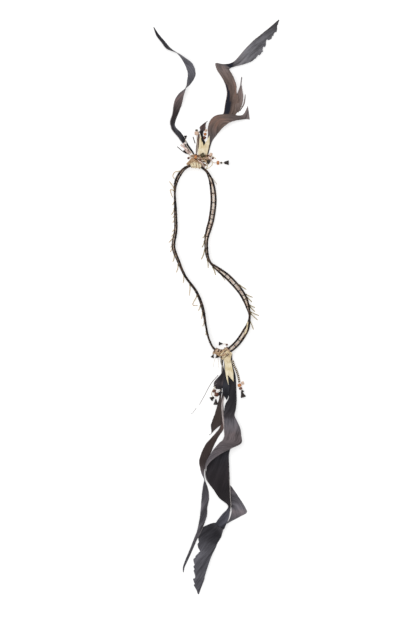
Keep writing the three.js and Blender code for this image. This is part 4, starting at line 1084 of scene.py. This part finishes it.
rear_string = string("rear_drop_thread", cord_end,
                     (0, 0, 0.6), (0.1, -3.1, 1), (1.4, -6.5, 1), (2.6, -10.1, 1.2))
bead("rear_orange_bead", rear_string, 0.30, 4.2, 5.2, orange_bead)
bead("rear_brown_bead", rear_string, 0.72, 3, 4.4, dark_bead)
end_seed("rear_cone_seed", rear_string, 8.8, 7.0)

# Loose work: turns of cream and tan thong drawn over the two bindings, cut ends of
# cane and thread, and small seeds and beads whose threads are hidden under them.
# They are set out on a drawing in squares of 1.3 mm, and the loop's front is marked on it.
SQUARE, FRONT_MARK = 1.3, (195.5, 166)
SIGHT_HIGH = 0.1
LAID_SPACING, LAID_PITCH, LAID_SIDES, LAID_RIDGE, LAID_STEP = 1.2, 1.1, 10, 0.15, 0.5
SEED_UP = 0.42


def drawn(x, y, z=0.0):
    return Vector(((x - FRONT_MARK[0]) * SQUARE, (FRONT_MARK[1] - y) * SQUARE, z))


def height_at(spot):
    """How high the top of what lies there is."""
    above = (spot + LOOP_FRONT) / MM
    above.z = SIGHT_HIGH
    layer = bpy.context.evaluated_depsgraph_get()
    hit, place, *_ = bpy.context.scene.ray_cast(layer, above, -UP)
    return place.z * MM if hit else 0


def laid(thick, *spots, flat=1.0, taper=0.0, proud=0.35):
    """A thong or thread let down onto whatever it crosses. A flat thong is smooth."""
    line = Run([drawn(*spot) for spot in spots])
    places = [line.spot(share) for share in stations(0, 1, max(3, round(line.length / LAID_SPACING)))]
    tops = [height_at(place) for place in places]
    for number, place in enumerate(places):
        near = tops[max(0, number - 1):number + 2]
        place.z = (max(near) + sum(near) / len(near)) / 2 + thick * proud
    ridge = LAID_RIDGE if flat == 1 else 0
    return strand(places, thick, LAID_PITCH, LAID_SIDES, ridge, flat, taper, LAID_STEP)


cream_thong = polished("cream_thong", (0.62, 0.49, 0.28), (0.82, 0.72, 0.52), 0.6, 0)
tan_thong = polished("tan_thong", (0.24, 0.14, 0.065), (0.62, 0.43, 0.27), 0.6, 0)
pink_thong = polished("pink_thong", (0.60, 0.42, 0.36), (0.84, 0.70, 0.64), 0.6, 0)
grey_barb = polished("grey_barb", (0.18, 0.16, 0.16), (0.38, 0.35, 0.34), 0.6, 0)
bpy.context.view_layer.update()
make("front_cream_turns", [
    laid(2.3, (190.6, 162), (192.4, 165), (193.8, 168.2), flat=0.4),
    laid(2.4, (193.6, 161.6), (195, 165.2), (195.8, 168.6), flat=0.4),
    laid(2.3, (196.8, 161.8), (197.6, 165.2), (198.2, 168.4), flat=0.4),
    laid(2, (199.8, 162), (200.4, 165.4), (200.4, 168), flat=0.4),
    laid(1.1, (204.8, 160.4), (207.6, 164.6), (206.4, 168.8)),
    laid(0.9, (205.2, 169.4), (209.2, 167.6), (212.4, 164.2), (212, 161.8)),
    laid(0.9, (209.4, 158.6), (211.4, 157), (213.6, 157.4), (216, 158.8)),
], cream_thong)
make("front_tan_turns", [
    laid(2.6, (186.8, 164.6), (189.2, 162), (191.6, 159.8), (193.6, 158), flat=0.4),
    laid(2.2, (188.2, 165.6), (191, 163.2), (193.6, 161.6), (195.8, 161.2), flat=0.4),
    laid(2.6, (190.2, 159.8), (194.8, 161.6), (199.6, 163.6), (204.6, 166.8), flat=0.4),
    laid(2.2, (191.6, 158.6), (196.4, 161.6), (202, 163.4), (206.6, 165.6), flat=0.4),
    laid(1.8, (200.2, 156.8), (203.4, 159.4), (205.6, 161.8), (207, 164.2), flat=0.4),
    laid(1.2, (199.6, 155.6), (204, 157.4), (208.6, 158.2), (210.4, 159.8)),
    laid(1.2, (189, 157.6), (192.6, 156.2), (196, 154.2)),
    laid(1.1, (205.6, 154.6), (207, 158.4), (205.4, 162.4)),
], tan_thong)
make("front_pink_strips", [
    laid(3.2, (190.6, 153.6), (187.4, 150.4), (184.6, 147.6), (180.4, 144.8), flat=0.3, taper=0.2),
    laid(2.4, (188.6, 153.8), (185.4, 149.6), (183.6, 143.4), flat=0.35, taper=0.2),
    laid(2.2, (208.6, 156.8), (210.4, 159.2), (211.6, 160.4), flat=0.4),
    laid(2.4, (198.8, 160.6), (202, 164.2), (204.4, 167.8), flat=0.35),
], pink_thong)
make("front_cut_canes", [
    laid(1.2, (193, 136.8), (194, 140), (195, 143.4)),
    laid(1.1, (177.2, 146.6), (180.6, 149.6), (184, 152.6)),
    laid(0.8, (190.6, 155.6), (186.6, 153.4), (183.4, 150.6)),
], dark_winding)
make("rear_cream_turns", [
    laid(9, (226.8, 362), (228, 357.4), (230.2, 351.8), flat=0.13, proud=0.05, taper=0.3),
    laid(3.2, (222.4, 359.4), (224.8, 354.6), (228.6, 350.2), flat=0.3, proud=0.12),
    laid(1.6, (219.4, 355.8), (222.6, 352.4), (226, 348.6), flat=0.6),
    laid(2.6, (248, 322), (246.8, 329), (243.6, 336), (240.6, 340.6), flat=0.3, taper=0.3),
], cream_thong)
make("rear_tan_turns", [
    laid(2, (213.2, 351.6), (217.2, 354.2), (222, 355.4), (226, 353.4), flat=0.5),
    laid(2, (212.6, 353.6), (216.6, 352.6), (221, 352.4), (224.6, 349.6), flat=0.5),
    laid(1.1, (215.6, 350.4), (219, 356.4), (221.8, 358.4)),
    laid(1, (224.6, 347.4), (228.4, 351), (230.6, 354.4)),
], tan_thong)
make("rear_thread_tails", [
    laid(0.6, (215.6, 356.6), (214, 362), (213, 367.6), taper=0.4),
    laid(0.6, (218, 357), (218.4, 363.4), (219.2, 369.4), taper=0.4),
    laid(0.6, (220.6, 357.6), (221.4, 363), (223.4, 368.6), taper=0.4),
    laid(1.1, (215.4, 386.6), (212.6, 390.2), (211.6, 394.4), (213.2, 397.4)),
    laid(0.9, (216.4, 388.4), (214.4, 392.8), (215.4, 396.2)),
], pale_thread)
make("rear_long_barbs_and_glint", [
    laid(1, (218.2, 375), (211.2, 383.2), (204.4, 395.6), (199.4, 404.6), taper=0.3),
    laid(0.7, (196.2, 408), (193.6, 411.8), (191, 414.2), taper=0.3),
    # A painted highlight: this pale strand is laid where the folded feather's left edge catches the light.
    laid(0.7, (213.4, 386.8), (214.8, 384.6), (216.8, 383.4), taper=0.3),
], grey_barb)


def loose_seed(name, x, y, long, wide, heading, finish=black_seed, full=0.0):
    """A seed lying on what is under it, its rim turned towards a heading in degrees."""
    way = Vector((math.cos(math.radians(heading)), math.sin(math.radians(heading)), 0))
    at = drawn(x, y) - way * long / 2
    at.z = height_at(drawn(x, y)) + wide * SEED_UP
    seed(name, at, way, long, wide, finish, full)


loose_seed("front_olive_seed", 202.4, 155.8, 5.6, 6.0, 20, olive_seed, 0.8)
loose_seed("front_red_seed", 205.2, 134.4, 3.6, 4.0, 100, orange_bead, 0.8)
loose_seed("front_dark_seed_low", 202.2, 140.6, 4.6, 4.2, 80)
loose_seed("front_dark_seed_high", 200.6, 133.0, 4.2, 4.0, 110)
loose_seed("front_brown_seed", 204.4, 138.0, 4.0, 4.2, 60, dark_bead, 0.8)
loose_seed("front_pale_seed", 205.8, 130.6, 3.4, 3.6, 70, pink_bead, 0.8)
loose_seed("rear_dark_seed_left", 212.8, 356.0, 4.6, 4.8, 250)
loose_seed("rear_dark_seed_right", 217.2, 355.8, 5.0, 5.0, 285)
loose_seed("rear_loop_seed", 212.4, 398.2, 5.4, 6.2, 215, full=0.2)
loose_seed("rear_brown_seed", 214.4, 391.0, 4.6, 4.8, 240, dark_bead, 0.7)
loose_seed("rear_cord_seed", 242.4, 390.8, 3.4, 4.0, 300)
loose_seed("rear_pale_seed", 242.6, 383.0, 3.6, 4.2, 20, pink_bead, 0.9)

# Fringe: short ends of tan hide thong knotted along the band, most of them on its
# outside, that hang loose and have dried into bends, set out on the same drawing.
# Each is given by its thickness, its knot and the places that it goes through.
TIE_LOW, TIE_FALL, TIE_PITCH, TIE_SIDES, TIE_RIDGE, TIE_FLAT, TIE_TAPER = 0.7, 0.35, 1.6, 8, 0.2, 0.8, 0.25
KNOT_WIDE, KNOT_HIGH = 0.72, 0.8
KNOT = ((0.05, -1.0), (0.75, -0.8), (1.0, -0.2), (0.95, 0.4), (0.6, 0.85), (0.05, 1.0))
TIE_BEND = Vector((0.35, -0.3, 0.3))
RIM_CHECKS = 600
rim_spots = []
for share in stations(0, 1, RIM_CHECKS):
    centre, rims, face = band_at(share)
    rim_spots += [centre + rims * (side * RIM_SPACING / 2) for side in (1, -1)]


def seated(x, y):
    """A place on the nearest rim of the band."""
    spot = drawn(x, y)
    rim = min(rim_spots, key=lambda p: (p.x - spot.x) ** 2 + (p.y - spot.y) ** 2)
    toward = Vector((spot.x - rim.x, spot.y - rim.y, 0))
    return rim + toward.normalized() * min(toward.length, RIM_THICK / 2)


def tie(thick, knot, *spots):
    """One thong from its knot on the band to its loose end near the table."""
    first, rest = seated(*knot), [drawn(*spot) for spot in spots]
    for number, place in enumerate(rest, 1):
        place.z = TIE_LOW + (first.z - TIE_LOW) * TIE_FALL * (1 - number / len(rest)) ** 2
    middle = [(first + rest[0]) / 2 + TIE_BEND] if len(rest) == 1 else []
    thong = strand([first, *middle, *rest], thick, TIE_PITCH, TIE_SIDES, TIE_RIDGE, TIE_FLAT, TIE_TAPER)
    profile = [(radius * thick * KNOT_WIDE, high * thick * KNOT_HIGH) for radius, high in KNOT]
    return [thong, turned(first, (rest[0] - first).normalized(), profile)]


def fringe(name, finish, *ties):
    make(name, [body for each in ties for body in tie(*each)], finish)


pale_thong = wound_finish(
    "fringe_pale_thong", (0.22, 0.17, 0.075), (0.58, 0.49, 0.27), (0.72, 0.58, 0.44), 0.5, 0.3
)
olive_thong = wound_finish(
    "fringe_olive_thong", (0.11, 0.085, 0.035), (0.37, 0.31, 0.15), (0.56, 0.45, 0.28), 0.5, 0.3
)
fringe("fringe_left_front", pale_thong,
       (1.5, (180.6, 171.5), (174.4, 172.5), (172.8, 176.3), (174.4, 178.8)),
       (1.5, (174, 188.1), (169.4, 181.5)),
       (1.5, (174, 190.6), (170.3, 190), (172.5, 197.5)),
       (1.5, (174.8, 199.4), (172.4, 205.2)),
       (1.5, (174.4, 208.8), (171.3, 215)),
       (1.5, (175.0, 213.2), (172.8, 217.8)),
       (1.5, (174.8, 218.8), (172.5, 222.5)),
       (1.5, (175.6, 226.3), (172.3, 231.9)),
       (1.5, (175.0, 231.2), (171.4, 236.6)),
       (1.7, (173.8, 236.3), (168.8, 242.5)),
       (1.5, (173, 242.5), (170.6, 247.5)),
       (1.5, (172.5, 247.5), (170, 252)),
       (1.5, (174.4, 255), (172.8, 261.9)),
       (1.5, (178, 265), (176.3, 272.5)),
       (1.5, (183.8, 275), (183.1, 283.1)),
       )
fringe("fringe_left_rear", pale_thong,
       (1.5, (190, 285), (189.1, 295.6)),
       (1.5, (196.3, 296.3), (192.8, 305), (197.5, 305.6)),
       (1.5, (199.4, 306.3), (198.1, 310.6)),
       (1.5, (202.5, 311.3), (201.3, 318.8)),
       (1.5, (204.4, 321.3), (202.5, 326.3)),
       (1.5, (206.3, 331.3), (205.6, 335)),
       )
fringe("fringe_right_front", olive_thong,
       (0.8, (213, 178.8), (216.9, 184.4)),
       (1.5, (205, 235), (202.5, 238)),
       (1.5, (204.4, 241.3), (201.9, 247.5)),
       (1.7, (204.4, 250), (201.3, 259.4)),
       (1.5, (207.5, 260), (208.1, 268)),
       (1.7, (213, 267.5), (215.6, 275)),
       (0.8, (221.3, 275), (225, 280.6)),
       )
fringe("fringe_right_rear", olive_thong,
       (1.5, (240, 285), (246.3, 289.4)),
       (1.5, (246.3, 294.4), (252.5, 297.3)),
       (1.5, (248, 297.5), (251.9, 301.9)),
       (1.5, (250.6, 305), (255, 307.5)),
       (1.5, (251.3, 306.9), (254.8, 311.5)),
       (1.5, (251.3, 311.9), (258.8, 315.6)),
       (1.5, (252.5, 313.8), (257.5, 320)),
       (1.5, (250, 321.3), (253.5, 329.4)),
       (1.2, (246.9, 327.5), (245, 335)),
       )

# Table and light: a plain pale sheet under even, soft light from above and a
# broad window-like light from one side, seen from straight above.
SHEET_WIDE = 6
ROOM_LIGHT = 0.5
EYE_HIGH, VIEW_LONG, SENSOR = 3, 0.819, 24

bpy.ops.mesh.primitive_plane_add(size=SHEET_WIDE)
sheet = bpy.context.object
sheet.name = "table"
paper = Finish("table_paper", Specular_IOR_Level=0.1, Emission_Color=(1, 1, 1), Emission_Strength=0.555)
tooth = paper.blend(paper.grain(0.4), (0.54, 0.54, 0.54), (0.56, 0.56, 0.56))
sheet.data.materials.append(paper.end(tooth, 0.9))


def lamp(name, at, turn, size, watts):
    light = bpy.data.lights.new(name, "AREA")
    light.shape, light.size, light.size_y, light.energy = "RECTANGLE", *size, watts
    fixture = bpy.data.objects.new(name, light)
    fixture.location, fixture.rotation_euler = at, turn
    bpy.context.scene.collection.objects.link(fixture)


lamp("overhead_softbox", (-0.3, 0.4, 2.2), (-0.18, -0.14, 0), (2.4, 2.4), 32)
lamp("side_softbox", (-1.6, 0.5, 1.2), (0, -0.95, 0), (1.4, 1.0), 7)
room = bpy.data.worlds.new("room")
room.use_nodes = True
light = room.node_tree.nodes["Background"].inputs
light["Color"].default_value = (1, 1, 1, 1)
light["Strength"].default_value = ROOM_LIGHT
bpy.context.scene.world = room
bpy.context.scene.view_settings.view_transform = "Standard"

lens = bpy.data.cameras.new("overhead_camera")
lens.sensor_fit, lens.sensor_height, lens.lens = "VERTICAL", SENSOR, SENSOR * EYE_HIGH / VIEW_LONG
camera = bpy.data.objects.new("overhead_camera", lens)
camera.location = (-0.00821, -0.01056, EYE_HIGH)
bpy.context.scene.collection.objects.link(camera)
bpy.context.scene.camera = camera
